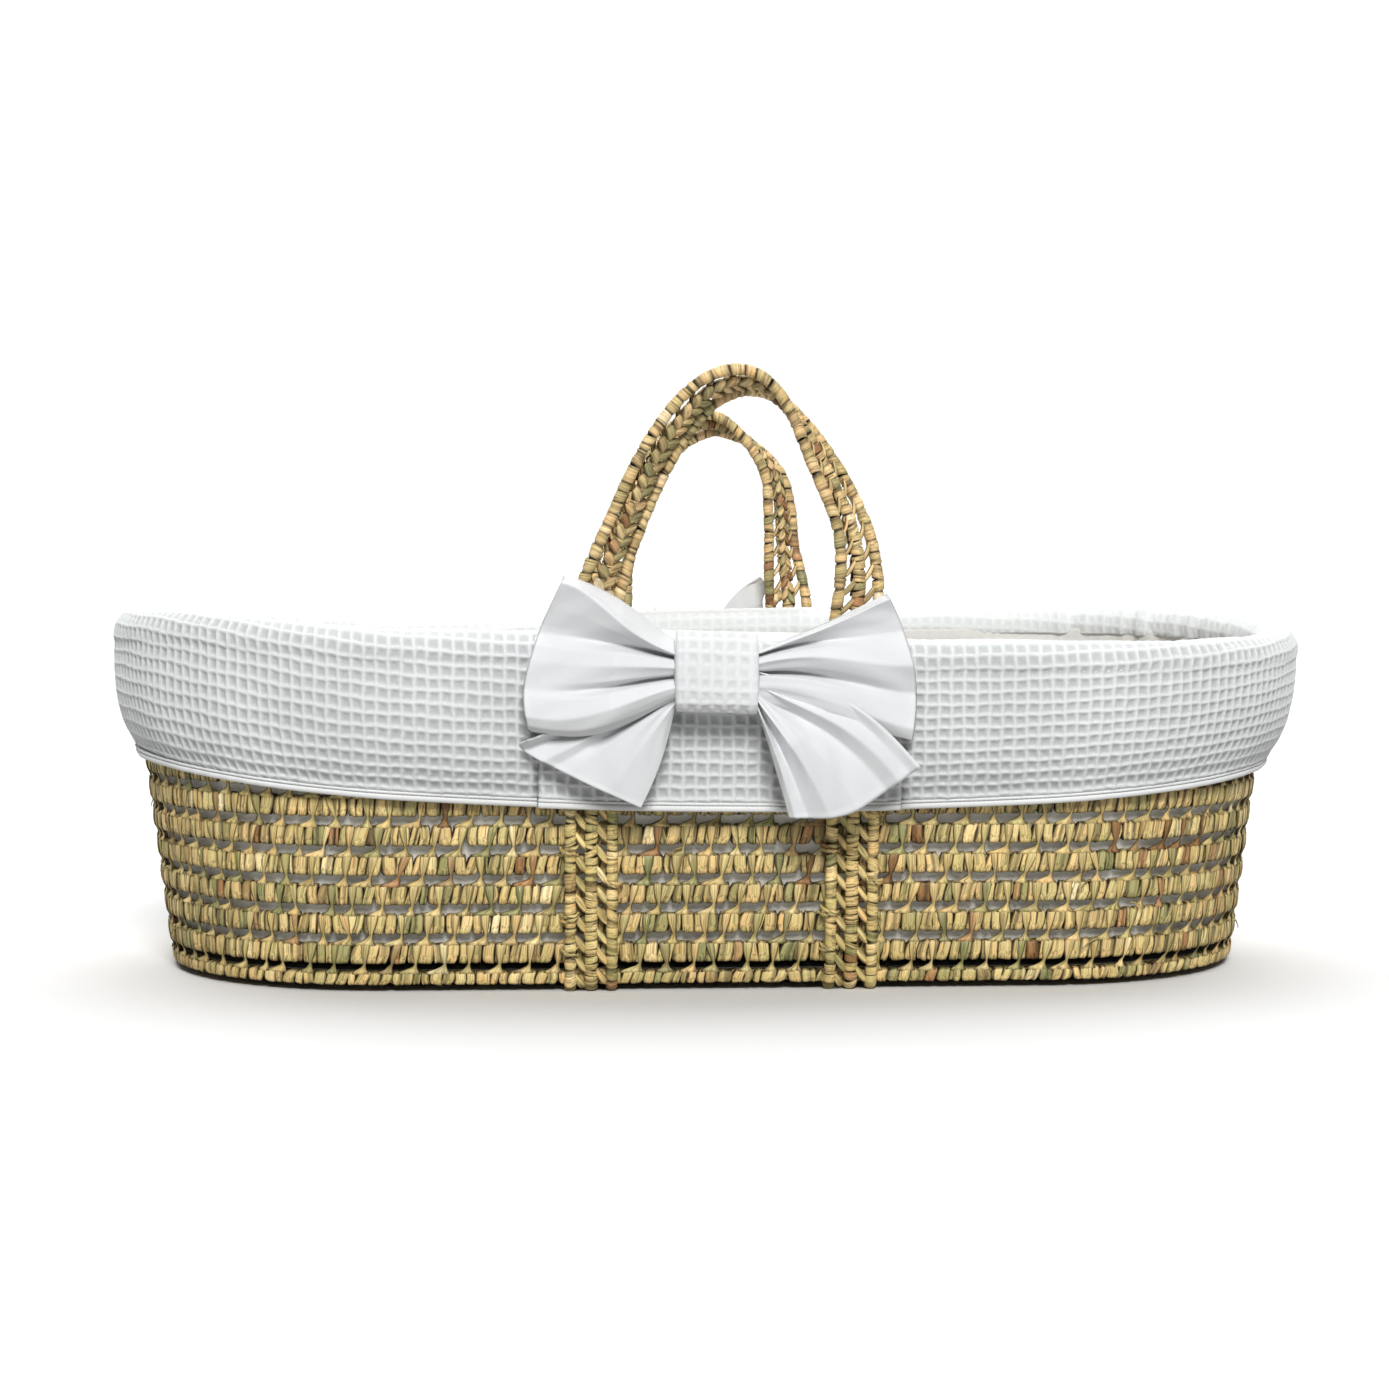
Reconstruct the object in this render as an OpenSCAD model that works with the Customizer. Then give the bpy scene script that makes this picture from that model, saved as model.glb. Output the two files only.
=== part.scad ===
// Moses basket: an oval palm-leaf basket with openwork straps and two arched carrying
// handles, a mattress, and a padded cotton dressing tied off with a bow on each long side.
// X runs along the basket, Y across it and Z up. The origin is on the ground, below the middle.

/* [Plan] */
// Half the straight length of each long side
straight_half = 221; // [216:1:226]
// Radius of the round ends at the ground, to the wall's outer face
ground_radius = 160; // [159:1:161]
// How far the wall leans outwards for each unit of height
wall_lean = 0.124; // [0.122:0.001:0.126]

/* [Woven wall] */
// Number of wrapped courses, the narrow border course at the ground included
course_count = 12; // [12]
// Height of one wrapped course
course_height = 13.8; // [13:0.1:14]
// Distance from one course to the next
course_pitch = 20.2; // [20:0.1:20.3]
// Thickness of the wrapped courses
wall_thickness = 7; // [6.5:0.1:7.2]
// Height of the border course
border_height = 8.5; // [8:0.1:9]

/* [Base] */
// Gap that the straps leave between the ground and the base
base_lift = 5; // [5]
// Thickness of the base
base_thickness = 8; // [7:0.1:8]
// Width of one coil of the base
base_coil_width = 13; // [12:0.1:13.5]

/* [Straps and handles] */
// Width of the three-cord straps and handles
strap_width = 38; // [36:1:40]
// Thickness of the straps on the wall
strap_thickness = 9; // [8:0.1:9]
// Places of the two front straps along X
front_strap_x = [-86, 90];
// Places of the two rear straps along X
rear_strap_x = [-63, 77];
// Radius of one handle cord
cord_radius = 4.6; // [4.4:0.1:4.6]
// Distance between neighbouring handle cords
cord_spacing = 14; // [13.6:0.1:14.4]

/* [Dressing] */
// Radius of the padded roll over the rim
bumper_radius = 15.5; // [15:0.1:15.5]
// Half the width of the flap under each bow
flap_half = 121.5; // [121:0.1:122]
// Height of the hem at the middle of the basket
hem_height = 124; // [123:1:126]
// Radius of the upward sweep of the hem
hem_sweep_radius = 3900; // [3700:50:4400]
// Width of the bound hem
hem_width = 6; // [5:0.5:7]
// Thickness of the padded waffle skirt
skirt_thickness = 3.6; // [3:0.1:3.8]

/* [Mattress] */
// Radius of the mattress's round ends
mattress_radius = 143; // [140:1:145]
// Thickness of the mattress
mattress_thickness = 38; // [30:1:45]

/* [Hidden] */
$fn = 96;

straw = [0.80, 0.70, 0.47];
dark_straw = [0.66, 0.56, 0.36];
cotton = [0.95, 0.95, 0.95];
lining = [0.92, 0.91, 0.89];

fit_gap = 0.3; // between neighbours that touch but move or are sewn apart
far = 600; // past the basket on every side

// The wall ----------------------------------------------------------------------------

// Radius of the wall's outer face at height z, measured from the middle of a round end
function wall_radius(z) = ground_radius + wall_lean * z;

// Lowest and highest point of course number i; course 0 is the border
first_course_low = 19.6;
function course_low(i) = i == 0 ? base_lift : first_course_low + (i - 1) * course_pitch;
function course_high(i) = i == 0 ? base_lift + border_height : course_low(i) + course_height;
wall_top = course_high(course_count - 1);

// Oval plan of a given end radius
module oval(radius, half = straight_half) {
    square([2 * half, 2 * radius], center = true);
    for (side = [-1, 1])
        translate([side * half, 0]) circle(radius);
}

// Carries a profile round the oval. The profile's x is the distance from the middle line.
module oval_sweep(half = straight_half) {
    for (turn = [0, 180])
        rotate(turn) {
            translate([half, 0, 0]) rotate(-90) rotate_extrude(angle = 180) children();
            translate([-half, 0, 0]) rotate([90, 0, 90]) linear_extrude(2 * half) children();
        }
}

// One wrapped course: a leaning band with softened outer edges
module wall_course(i) {
    low = course_low(i);
    high = course_high(i);
    edge = 2.4;
    inset = 1.2;
    color(straw) oval_sweep() polygon([
        [wall_radius(low) - wall_thickness, low],
        [wall_radius(low) - inset, low],
        [wall_radius(low + edge), low + edge],
        [wall_radius(high - edge), high - edge],
        [wall_radius(high) - inset, high],
        [wall_radius(high) - wall_thickness, high]
    ]);
}

// The leaf ties that hold each course to the next, staggered from gap to gap
tie_width = 5;
tie_depth = 4.4;
tie_inset = 1.4;
ties_on_side = 8;
ties_on_end = 8;
module tie_row(i) {
    low = course_high(i);
    height = course_low(i + 1) - low;
    reach = wall_radius(low) - tie_inset - tie_depth;
    shift = 0.25 + 0.5 * (i % 2);
    for (turn = [0, 180], k = [0 : ties_on_side - 1])
        rotate(turn)
            translate([-straight_half + (k + shift) * 2 * straight_half / ties_on_side - tie_width / 2,
                       reach, low])
                cube([tie_width, tie_depth, height]);
    for (turn = [0, 180], k = [0 : ties_on_end - 1])
        rotate(turn) translate([straight_half, 0, low])
            rotate(-90 + (k + shift) * 180 / ties_on_end)
                translate([reach, -tie_width / 2, 0]) cube([tie_depth, tie_width, height]);
}

module course_ties() {
    color(dark_straw)
        for (i = [0 : course_count - 2]) tie_row(i);
}

// The base ----------------------------------------------------------------------------

// Flat coils one inside the other, crossed by lashing bars
base_radius = wall_radius(base_lift) - wall_thickness - 0.1;
base_coil_pitch = 19.2;
base_bar_width = 5;
module base_panel() {
    color(straw) translate([0, 0, base_lift]) linear_extrude(base_thickness) {
        for (radius = [base_radius : -base_coil_pitch : base_coil_width])
            difference() {
                oval(radius);
                oval(radius - base_coil_width);
            }
        for (x = [-200 : 50 : 200])
            translate([x, 0]) square([base_bar_width, 2 * base_radius - base_coil_width], center = true);
        square([2 * (straight_half + base_radius) - base_coil_width, base_bar_width], center = true);
    }
}

// Straps ------------------------------------------------------------------------------

lattice_pitch = 15;
slot_width = 5;
slot_length = 9;

// The two columns of open lattice slots of a strap, along +Z, cut through along Y
module lattice_slots(length) {
    for (side = [-1, 1], z = [lattice_pitch : lattice_pitch : length - lattice_pitch])
        translate([side * cord_spacing / 2 - slot_width / 2, -far / 2, z])
            cube([slot_width, far, slot_length]);
}

// The strap under the base, from the front wall strap to the rear one. The basket stands on it.
strap_reach = ground_radius + strap_thickness;
module under_strap(front_x, rear_x) {
    half = strap_width / 2;
    color(straw) linear_extrude(base_lift) polygon([
        [front_x - half, -strap_reach],
        [front_x + half, -strap_reach],
        [rear_x + half, strap_reach],
        [rear_x - half, strap_reach]
    ]);
}

// A strap up the front wall, from the ground strap to the rim
strap_top = wall_top + 8.1;
lean_angle = atan(wall_lean);
module wall_strap(x) {
    length = strap_top + 30;
    color(straw) intersection() {
        translate([x, -ground_radius, 0]) rotate([lean_angle, 0, 0]) difference() {
            translate([-strap_width / 2, -strap_thickness, -10])
                cube([strap_width, strap_thickness, length]);
            lattice_slots(length - 2 * lattice_pitch);
        }
        translate([-far, -far, base_lift]) cube([2 * far, far, strap_top - base_lift]);
    }
}

// Leaf lashings that hold the strap's edges to the wall at every second gap
lashing_reach = 6;
lashing_height = 4;
module strap_lashing_set(x) {
    for (i = [1 : 2 : course_count - 2], side = [-1, 1]) {
        z = course_high(i) - lashing_height;
        translate([x + side * (strap_width + lashing_reach) / 2, -wall_radius(z + lashing_height), z])
            translate([-lashing_reach / 2, -lashing_reach, 0])
                cube([lashing_reach, lashing_reach, lashing_height]);
    }
}

module strap_lashings() {
    color(dark_straw) {
        for (x = front_strap_x) strap_lashing_set(x);
        rotate(180) for (x = rear_strap_x) strap_lashing_set(-x);
    }
}

// Dressing ----------------------------------------------------------------------------

liner_thickness = 2.2;
liner_gap = 0.3;
liner_low = base_lift + base_thickness + 0.2;
liner_high = wall_top - 2;
function liner_radius(z) = wall_radius(z) - wall_thickness - liner_gap;

// The lining sheet against the inside of the wall
module liner_wall() {
    color(lining) oval_sweep() polygon([
        [liner_radius(liner_low) - liner_thickness, liner_low],
        [liner_radius(liner_low), liner_low],
        [liner_radius(liner_high), liner_high],
        [liner_radius(liner_high) - liner_thickness, liner_high]
    ]);
}

// The lining sheet over the base
liner_floor_thickness = 1.4;
module liner_floor() {
    color(lining) translate([0, 0, liner_low]) linear_extrude(liner_floor_thickness)
        oval(liner_radius(liner_low) - liner_thickness - 0.1);
}

// The padded roll folded over the rim. It is cut back where the straps and flaps pass outside it.
bumper_offset = 0.8;
bumper_z = wall_top - 7.4;
bumper_low = wall_top - 13.4;
bumper_inside = liner_radius(bumper_low) - liner_thickness - liner_gap;
strap_face = wall_radius(wall_top) + fit_gap;
flap_face = 199.8;
module bumper_cuts(strap_x) {
    translate([-flap_half - 1, -far, 0]) cube([2 * flap_half + 2, far - flap_face, far]);
    for (x = strap_x)
        translate([x - strap_width / 2 - 1, -far, 0])
            cube([strap_width + 2, far - wall_radius(wall_top), far]);
}

module rim_bumper() {
    color(cotton) difference() {
        oval_sweep() difference() {
            translate([wall_radius(wall_top) + bumper_offset, bumper_z]) circle(bumper_radius);
            square([far, bumper_low]);
            translate([bumper_inside, 0]) square([strap_face - bumper_inside, wall_top + fit_gap]);
        }
        bumper_cuts(front_strap_x);
        rotate(180) bumper_cuts(-rear_strap_x);
    }
}

// Side profile of the skirt's outer face: full at the top, drawn in at the hem
skirt_face = [
    [204, bumper_low], [202.5, 205], [200.5, 185], [197, 165], [191.5, 150], [185.5, 138],
    [182.6, 118]
];
function moved(points, dx) = [for (p = points) [p[0] + dx, p[1]]];
function reversed(points) = [for (i = [len(points) - 1 : -1 : 0]) points[i]];
module sheet_profile(face, thickness) {
    polygon(concat(face, reversed(moved(face, -thickness))));
}

// Everything above the swept-up hem line, raised by lift
module above_hem(lift) {
    translate([0, far, hem_height + lift + hem_sweep_radius])
        rotate([90, 0, 0]) linear_extrude(2 * far) circle(hem_sweep_radius, $fn = 1440);
}

// Keeps what lies past the flap, on the side given by -1 or 1
module beyond_flap(side) {
    start = flap_half + 0.5;
    translate([side > 0 ? start : -far, -far, 0]) cube([far - start, 2 * far, far]);
}

module skirt(side) {
    color(cotton) intersection() {
        oval_sweep() sheet_profile(skirt_face, skirt_thickness);
        above_hem(hem_width);
        beyond_flap(side);
    }
}

// The binding folded over the skirt's lower edge
binding_extra = 0.4;
module skirt_hem(side) {
    color(cotton) intersection() {
        oval_sweep() sheet_profile(moved(skirt_face, binding_extra), skirt_thickness + 2 * binding_extra);
        difference() {
            above_hem(0);
            above_hem(hem_width);
        }
        beyond_flap(side);
    }
}

// Profile of the front and rear flaps, which hang outside the straps
flap_face_line = [
    [204.2, 238], [204.2, 222], [198, 190], [193, 150], [189.6, 118]
];
flap_thickness = 4;
module flap_sheet(face, thickness) {
    translate([-flap_half, 0, 0]) rotate([90, 0, 90]) linear_extrude(2 * flap_half)
        sheet_profile(face, thickness);
}

module flap() {
    color(cotton) rotate(180) intersection() {
        flap_sheet(flap_face_line, flap_thickness);
        above_hem(hem_width);
    }
}

module flap_hem() {
    color(cotton) rotate(180) intersection() {
        flap_sheet(moved(flap_face_line, binding_extra), flap_thickness + 2 * binding_extra);
        difference() {
            above_hem(0);
            above_hem(hem_width);
        }
    }
}

// The bound edge of the opening that the handles come out of, between the two legs
slit_binding_width = 4;
slit_binding_height = 2.5;
module slit_binding(left_x, right_x) {
    color(cotton)
        translate([left_x + strap_width / 2 + 2,
                   -wall_radius(wall_top) - bumper_offset - slit_binding_width / 2,
                   bumper_z + bumper_radius])
            cube([right_x - left_x - strap_width - 4, slit_binding_width, slit_binding_height]);
}

// Bows --------------------------------------------------------------------------------

// Outlines in X and Z of the right half of the bow
wing_outline = [[27, 241], [100, 279], [106, 277], [118, 250], [127, 209], [127, 178], [27, 200]];
tail_outline = [[24, 198], [127, 172], [130, 163], [90, 137], [50, 127]];
rear_wing_outline = [[27, 241], [76, 266], [84, 265], [114, 240], [127, 209], [127, 178], [27, 200]];

// A flat piece of the bow from outline, mirrored to both sides, lying from near to near + depth
module bow_halves(outline, near, depth) {
    for (side = [0, 1])
        mirror([side, 0, 0])
            translate([0, -near, 0]) rotate([90, 0, 0]) linear_extrude(depth) polygon(outline);
}

tails_near = 205;
tails_depth = 4;
wings_near = 209.5;
wings_depth = 13;
module bow_wings(outline) {
    color(cotton) bow_halves(outline, wings_near, wings_depth);
}

module bow_tails() {
    color(cotton) bow_halves(tail_outline, tails_near, tails_depth);
}

// The waffle band gathered round the bow's middle, with rounded outer corners
knot_half = 26.8;
knot_low = 193;
knot_high = 246;
knot_reach = 231;
knot_corner = 9;
module bow_knot() {
    color(cotton) translate([0, 0, knot_low]) linear_extrude(knot_high - knot_low) {
        translate([-knot_half, -knot_reach + knot_corner])
            square([2 * knot_half, knot_reach - knot_corner - wings_near]);
        translate([-knot_half + knot_corner, -knot_reach])
            square([2 * (knot_half - knot_corner), knot_corner]);
        for (side = [-1, 1])
            translate([side * (knot_half - knot_corner), -knot_reach + knot_corner])
                circle(knot_corner);
    }
}

// Handles -----------------------------------------------------------------------------

// Both handles hinge where they leave the slit, along a line parallel to X
hinge_y = 194.6;
hinge_z = 249.6;

// Middle lines of the handles in X and Z, from the left leg's foot to the right leg's, and
// where the flat of the strap has turned to, in degrees about the line: flat against the wall
// at both feet, and half a turn in all
front_line = [
    [-86, 249.6, 0], [-79, 275, 22], [-65, 313, 40], [-40, 366, 45], [-12, 401, 50],
    [16, 411, 62], [42, 397, 92], [66, 360, 122], [86, 318, 136], [92, 284, 156],
    [90, 249.6, 180]
];
rear_line = [
    [-63, 249.6, 0], [-61, 277, 22], [-54, 308, 40], [-37, 347, 45], [-13, 377, 50],
    [16, 389, 62], [43, 376, 92], [64, 351, 118], [70, 322, 134], [72, 290, 142],
    [77, 249.6, 180]
];

// Smooth curve through the points: Catmull-Rom between points i and i + 1
function at_end(points, i) = points[max(0, min(len(points) - 1, i))];
function blend4(a, b, c, d, t) =
    0.5 * (2 * b + (c - a) * t + (2 * a - 5 * b + 4 * c - d) * t * t
           + (3 * b - a - 3 * c + d) * t * t * t);
function along(points, u) =
    let (i = min(floor(u), len(points) - 2), t = u - i)
        blend4(at_end(points, i - 1), at_end(points, i), at_end(points, i + 1),
               at_end(points, i + 2), t);

// Unit direction of the line at u
function unit(v) = v / norm(v);
function heading(points, u) =
    let (step = along(points, u + 0.02) - along(points, u - 0.02)) unit([step[0], step[1]]);

// The strap's frame at u: [middle, across, out of its face]
function strap_frame(points, u) =
    let (
        p = along(points, u),
        t = heading(points, u),
        inward = [t[1], 0, -t[0]],
        across = cos(p[2]) * inward + sin(p[2]) * [0, 1, 0],
        ahead = [t[0], 0, t[1]]
    )
    [[p[0], 0, p[1]], across, cross(ahead, across)];

rings = 40;
cord_sides = 8;

// Lowest point of a cord's ring at u, and the first u from a foot where it clears the knuckle
function ring_low(points, offset, u) =
    let (f = strap_frame(points, u))
        f[0][2] + offset * f[1][2] - cord_radius * norm([f[1][2], f[2][2]]);
function clear_of_knuckle(points, offset, u, step) =
    ring_low(points, offset, u) > hinge_z + cord_radius ? u
        : clear_of_knuckle(points, offset, u + step, step);

// A round cord at the given offset across the strap, from one knuckle to the other
module handle_cord(points, offset) {
    start = clear_of_knuckle(points, offset, 0.1, 0.01);
    end = clear_of_knuckle(points, offset, len(points) - 1.1, -0.01);
    frames = [for (k = [0 : rings]) strap_frame(points, start + k * (end - start) / rings)];
    corners = [
        for (f = frames, k = [0 : cord_sides - 1])
            f[0] + offset * f[1]
            + cord_radius * (cos(360 * k / cord_sides) * f[1] + sin(360 * k / cord_sides) * f[2])
    ];
    faces = [
        [for (k = [0 : cord_sides - 1]) k],
        for (j = [0 : rings - 1], k = [0 : cord_sides - 1])
            let (
                next = (k + 1) % cord_sides,
                near = j * cord_sides,
                ahead = near + cord_sides
            )
            each [[near + k, ahead + k, ahead + next], [near + k, ahead + next, near + next]],
        [for (k = [cord_sides - 1 : -1 : 0]) rings * cord_sides + k]
    ];
    polyhedron(corners, faces);
}

// The slanting leaf links between neighbouring cords
link_width = 4;
links = 15;
module handle_lattice(points) {
    last = len(points) - 1;
    for (k = [0 : links - 1], side = [-1, 1]) {
        u = 0.6 + k * (last - 1.2) / (links - 1);
        f = strap_frame(points, u);
        reach = side > 0 ? [cord_radius + 0.05, cord_spacing - cord_radius - 0.05]
                         : [cord_radius - cord_spacing + 0.05, -cord_radius - 0.05];
        ahead = cross(f[1], f[2]);
        corners = [
            for (face = [-1, 1], edge = [-1, 1], end = [0, 1])
                f[0] + reach[end] * f[1] + link_width / 2 * (face * f[2] + edge * ahead)
        ];
        polyhedron(corners, [
            [0, 2, 3, 1], [4, 5, 7, 6], [0, 1, 5, 4], [2, 6, 7, 3], [0, 4, 6, 2], [1, 3, 7, 5]
        ]);
    }
}

// The rounded feet that the handle turns on
module handle_knuckles(points) {
    for (p = [points[0], points[len(points) - 1]])
        translate([p[0], 0, hinge_z]) rotate([0, 90, 0])
            cylinder(r = cord_radius, h = 2 * (cord_spacing + cord_radius), center = true);
}

module front_handle_piece() { color(straw) translate([0, -hinge_y, 0]) children(); }
module rear_handle_piece() { color(straw) translate([0, hinge_y, 0]) children(); }

// Mattress ----------------------------------------------------------------------------

mattress_side = 219;
mattress_low = liner_low + liner_floor_thickness + fit_gap;
mattress_edge = 10;
module mattress() {
    color(cotton) translate([0, 0, mattress_low]) oval_sweep(mattress_side) {
        translate([0, mattress_edge]) square([mattress_radius, mattress_thickness - 2 * mattress_edge]);
        square([mattress_radius - mattress_edge, mattress_thickness]);
        for (z = [mattress_edge, mattress_thickness - mattress_edge])
            translate([mattress_radius - mattress_edge, z]) circle(mattress_edge);
    }
}

// Nodes -------------------------------------------------------------------------------

base_panel();
under_strap(front_strap_x[0], rear_strap_x[0]);  // under_strap_left
under_strap(front_strap_x[1], rear_strap_x[1]);  // under_strap_right
wall_course(0);  // wall_course_00
wall_course(1);  // wall_course_01
wall_course(2);  // wall_course_02
wall_course(3);  // wall_course_03
wall_course(4);  // wall_course_04
wall_course(5);  // wall_course_05
wall_course(6);  // wall_course_06
wall_course(7);  // wall_course_07
wall_course(8);  // wall_course_08
wall_course(9);  // wall_course_09
wall_course(10);  // wall_course_10
wall_course(11);  // wall_course_11
course_ties();
wall_strap(front_strap_x[0]);  // wall_strap_front_left
wall_strap(front_strap_x[1]);  // wall_strap_front_right
rotate(180) wall_strap(-rear_strap_x[0]);  // wall_strap_rear_left
rotate(180) wall_strap(-rear_strap_x[1]);  // wall_strap_rear_right
strap_lashings();
liner_wall();
liner_floor();
rim_bumper();
skirt(-1);  // skirt_left
skirt(1);  // skirt_right
skirt_hem(-1);  // skirt_hem_left
skirt_hem(1);  // skirt_hem_right
flap();  // flap_front
rotate(180) flap();  // flap_rear
flap_hem();  // flap_hem_front
rotate(180) flap_hem();  // flap_hem_rear
slit_binding(front_strap_x[0], front_strap_x[1]);  // slit_binding_front
rotate(180) slit_binding(-rear_strap_x[1], -rear_strap_x[0]);  // slit_binding_rear
bow_wings(wing_outline);  // bow_wings_front
bow_tails();  // bow_tails_front
bow_knot();  // bow_knot_front
rotate(180) bow_wings(rear_wing_outline);  // bow_wings_rear
rotate(180) bow_tails();  // bow_tails_rear
rotate(180) bow_knot();  // bow_knot_rear
front_handle_piece() handle_knuckles(front_line);  // front_handle_knuckles
front_handle_piece() handle_cord(front_line, -cord_spacing);  // front_handle_cord_1
front_handle_piece() handle_cord(front_line, 0);  // front_handle_cord_2
front_handle_piece() handle_cord(front_line, cord_spacing);  // front_handle_cord_3
front_handle_piece() handle_lattice(front_line);  // front_handle_lattice
rear_handle_piece() handle_knuckles(rear_line);  // rear_handle_knuckles
rear_handle_piece() handle_cord(rear_line, -cord_spacing);  // rear_handle_cord_1
rear_handle_piece() handle_cord(rear_line, 0);  // rear_handle_cord_2
rear_handle_piece() handle_cord(rear_line, cord_spacing);  // rear_handle_cord_3
rear_handle_piece() handle_lattice(rear_line);  // rear_handle_lattice
mattress();
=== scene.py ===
"""The looks of a moses basket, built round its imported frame. Lengths are in metres."""
import math

import bpy
import numpy as np
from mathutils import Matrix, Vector
from mathutils.bvhtree import BVHTree


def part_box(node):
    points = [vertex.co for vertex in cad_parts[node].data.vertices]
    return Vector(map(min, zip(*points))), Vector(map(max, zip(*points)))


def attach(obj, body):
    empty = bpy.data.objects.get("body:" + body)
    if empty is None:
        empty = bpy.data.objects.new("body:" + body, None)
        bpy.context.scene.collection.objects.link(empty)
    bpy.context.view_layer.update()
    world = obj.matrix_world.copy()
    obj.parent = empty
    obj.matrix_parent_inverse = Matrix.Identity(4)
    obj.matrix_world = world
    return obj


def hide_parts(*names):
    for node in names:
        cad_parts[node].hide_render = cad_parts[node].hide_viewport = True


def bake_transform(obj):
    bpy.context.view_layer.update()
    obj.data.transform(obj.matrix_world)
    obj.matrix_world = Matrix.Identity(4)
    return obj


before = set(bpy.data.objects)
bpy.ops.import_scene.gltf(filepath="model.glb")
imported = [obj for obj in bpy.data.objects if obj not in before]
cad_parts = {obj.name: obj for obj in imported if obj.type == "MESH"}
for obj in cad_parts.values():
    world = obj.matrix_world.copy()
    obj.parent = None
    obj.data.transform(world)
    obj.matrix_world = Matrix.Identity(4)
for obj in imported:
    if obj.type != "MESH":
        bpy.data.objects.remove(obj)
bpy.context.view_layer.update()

MM = 0.001
TURN = 2 * math.pi


# Camera and studio -------------------------------------------------------------------

def make_camera():
    """In front of the basket, above its rim and a little left of its middle"""
    camera = bpy.data.objects.new("camera", bpy.data.cameras.new("camera"))
    bpy.context.scene.collection.objects.link(camera)
    camera.data.lens = 87.8
    camera.location = (-0.14, -2.44, 0.345)
    yaw = math.radians(3.12)
    pitch = math.radians(3.61)
    camera.rotation_euler = (math.pi / 2 - pitch, 0, -yaw)
    bpy.context.scene.camera = camera


def make_sun(name, direction, softness, strength):
    """A lamp far away that shines along direction. Its softness is an angle in degrees."""
    lamp = bpy.data.lights.new(name, "SUN")
    lamp.angle = math.radians(softness)
    lamp.energy = strength
    made = bpy.data.objects.new(name, lamp)
    made.rotation_euler = Vector(direction).to_track_quat("-Z", "Y").to_euler()
    bpy.context.scene.collection.objects.link(made)


# Mesh helpers ------------------------------------------------------------------------

def quads(count, rows, cols, round_rows, round_cols):
    """Corner numbers of the quads of count grids, each rows by cols points"""
    r = np.arange(rows if round_rows else rows - 1)
    c = np.arange(cols if round_cols else cols - 1)
    r, c = np.meshgrid(r, c, indexing="ij")
    r_next = (r + 1) % rows
    c_next = (c + 1) % cols
    one = np.stack([r * cols + c, r_next * cols + c, r_next * cols + c_next, r * cols + c_next], -1)
    starts = np.arange(count) * rows * cols
    return (starts[:, None, None] + one.reshape(1, -1, 4)).reshape(-1, 4)


class Patch:
    """One or more grids of points, with what the materials read at each point: tint picks a leaf's
    colour, edge is how much painted shade darkens a place, in the leaf's grooves and the cloth's
    hollows, and grain is the place along and across the leaf"""

    def __init__(self, points, round_rows=False, round_cols=False, tint=0.5, edge=0.0, grain=0.0):
        points = np.asarray(points, float)
        self.points = points[None] if points.ndim == 3 else points
        shape = self.points.shape[:3]
        self.tint = np.broadcast_to(tint, shape)
        self.edge = np.broadcast_to(edge, shape)
        self.grain = np.broadcast_to(grain, shape + (3,))
        self.faces = quads(*shape, round_rows, round_cols)


def piece(name, patches, material, body="basket", replaces=(), thickness=0.0):
    """One object made of patches, riding on a body."""
    points = np.concatenate([p.points.reshape(-1, 3) for p in patches])
    starts = np.cumsum([0] + [p.tint.size for p in patches[:-1]])
    faces = np.concatenate([p.faces + start for p, start in zip(patches, starts)])
    mesh = bpy.data.meshes.new(name)
    mesh.vertices.add(len(points))
    mesh.vertices.foreach_set("co", points.astype(np.float32).ravel())
    mesh.loops.add(faces.size)
    mesh.loops.foreach_set("vertex_index", faces.astype(np.int32).ravel())
    mesh.polygons.add(len(faces))
    mesh.polygons.foreach_set("loop_start", np.arange(0, faces.size, 4, dtype=np.int32))
    mesh.polygons.foreach_set("use_smooth", np.ones(len(faces), bool))
    for layer, kind, key in (
        ("tint", "FLOAT", "value"), ("edge", "FLOAT", "value"), ("grain", "FLOAT_VECTOR", "vector")
    ):
        values = np.concatenate([getattr(p, layer).reshape(-1) for p in patches])
        mesh.attributes.new(layer, kind, "POINT").data.foreach_set(key, values.astype(np.float32))
    mesh.update(calc_edges=True)
    mesh.validate()
    mesh.materials.append(material)
    made = bpy.data.objects.new(name, mesh)
    bpy.context.scene.collection.objects.link(made)
    if thickness:
        solid = made.modifiers.new("thickness", "SOLIDIFY")
        solid.thickness = thickness
    if body:
        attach(made, body)
    if replaces:
        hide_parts(*replaces)
    return made


def smooth_line(points, count):
    """count points on a Catmull-Rom curve through the points"""
    points = np.asarray(points, float)
    last = len(points) - 1
    u = np.linspace(0, last, count)
    i = np.minimum(u.astype(int), last - 1)
    t = (u - i)[:, None]
    a = points[np.maximum(i - 1, 0)]
    b = points[i]
    c = points[i + 1]
    d = points[np.minimum(i + 2, last)]
    return 0.5 * (2 * b + (c - a) * t + (2 * a - 5 * b + 4 * c - d) * t ** 2
                  + (3 * b - a - 3 * c + d) * t ** 3)


def smooth_step(low, high, x):
    """0 where x is at low, 1 where it is at high, and a soft S between them"""
    t = np.clip((x - low) / (high - low), 0, 1)
    return t * t * (3 - 2 * t)


def ripple(s, rng, lengths, size):
    """Sum of a few sine waves with seeded phases, about as high as size"""
    total = 0.0
    for length in lengths:
        total = total + np.sin(TURN * s / length + rng.uniform(0, TURN))
    return size * total / len(lengths)


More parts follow.
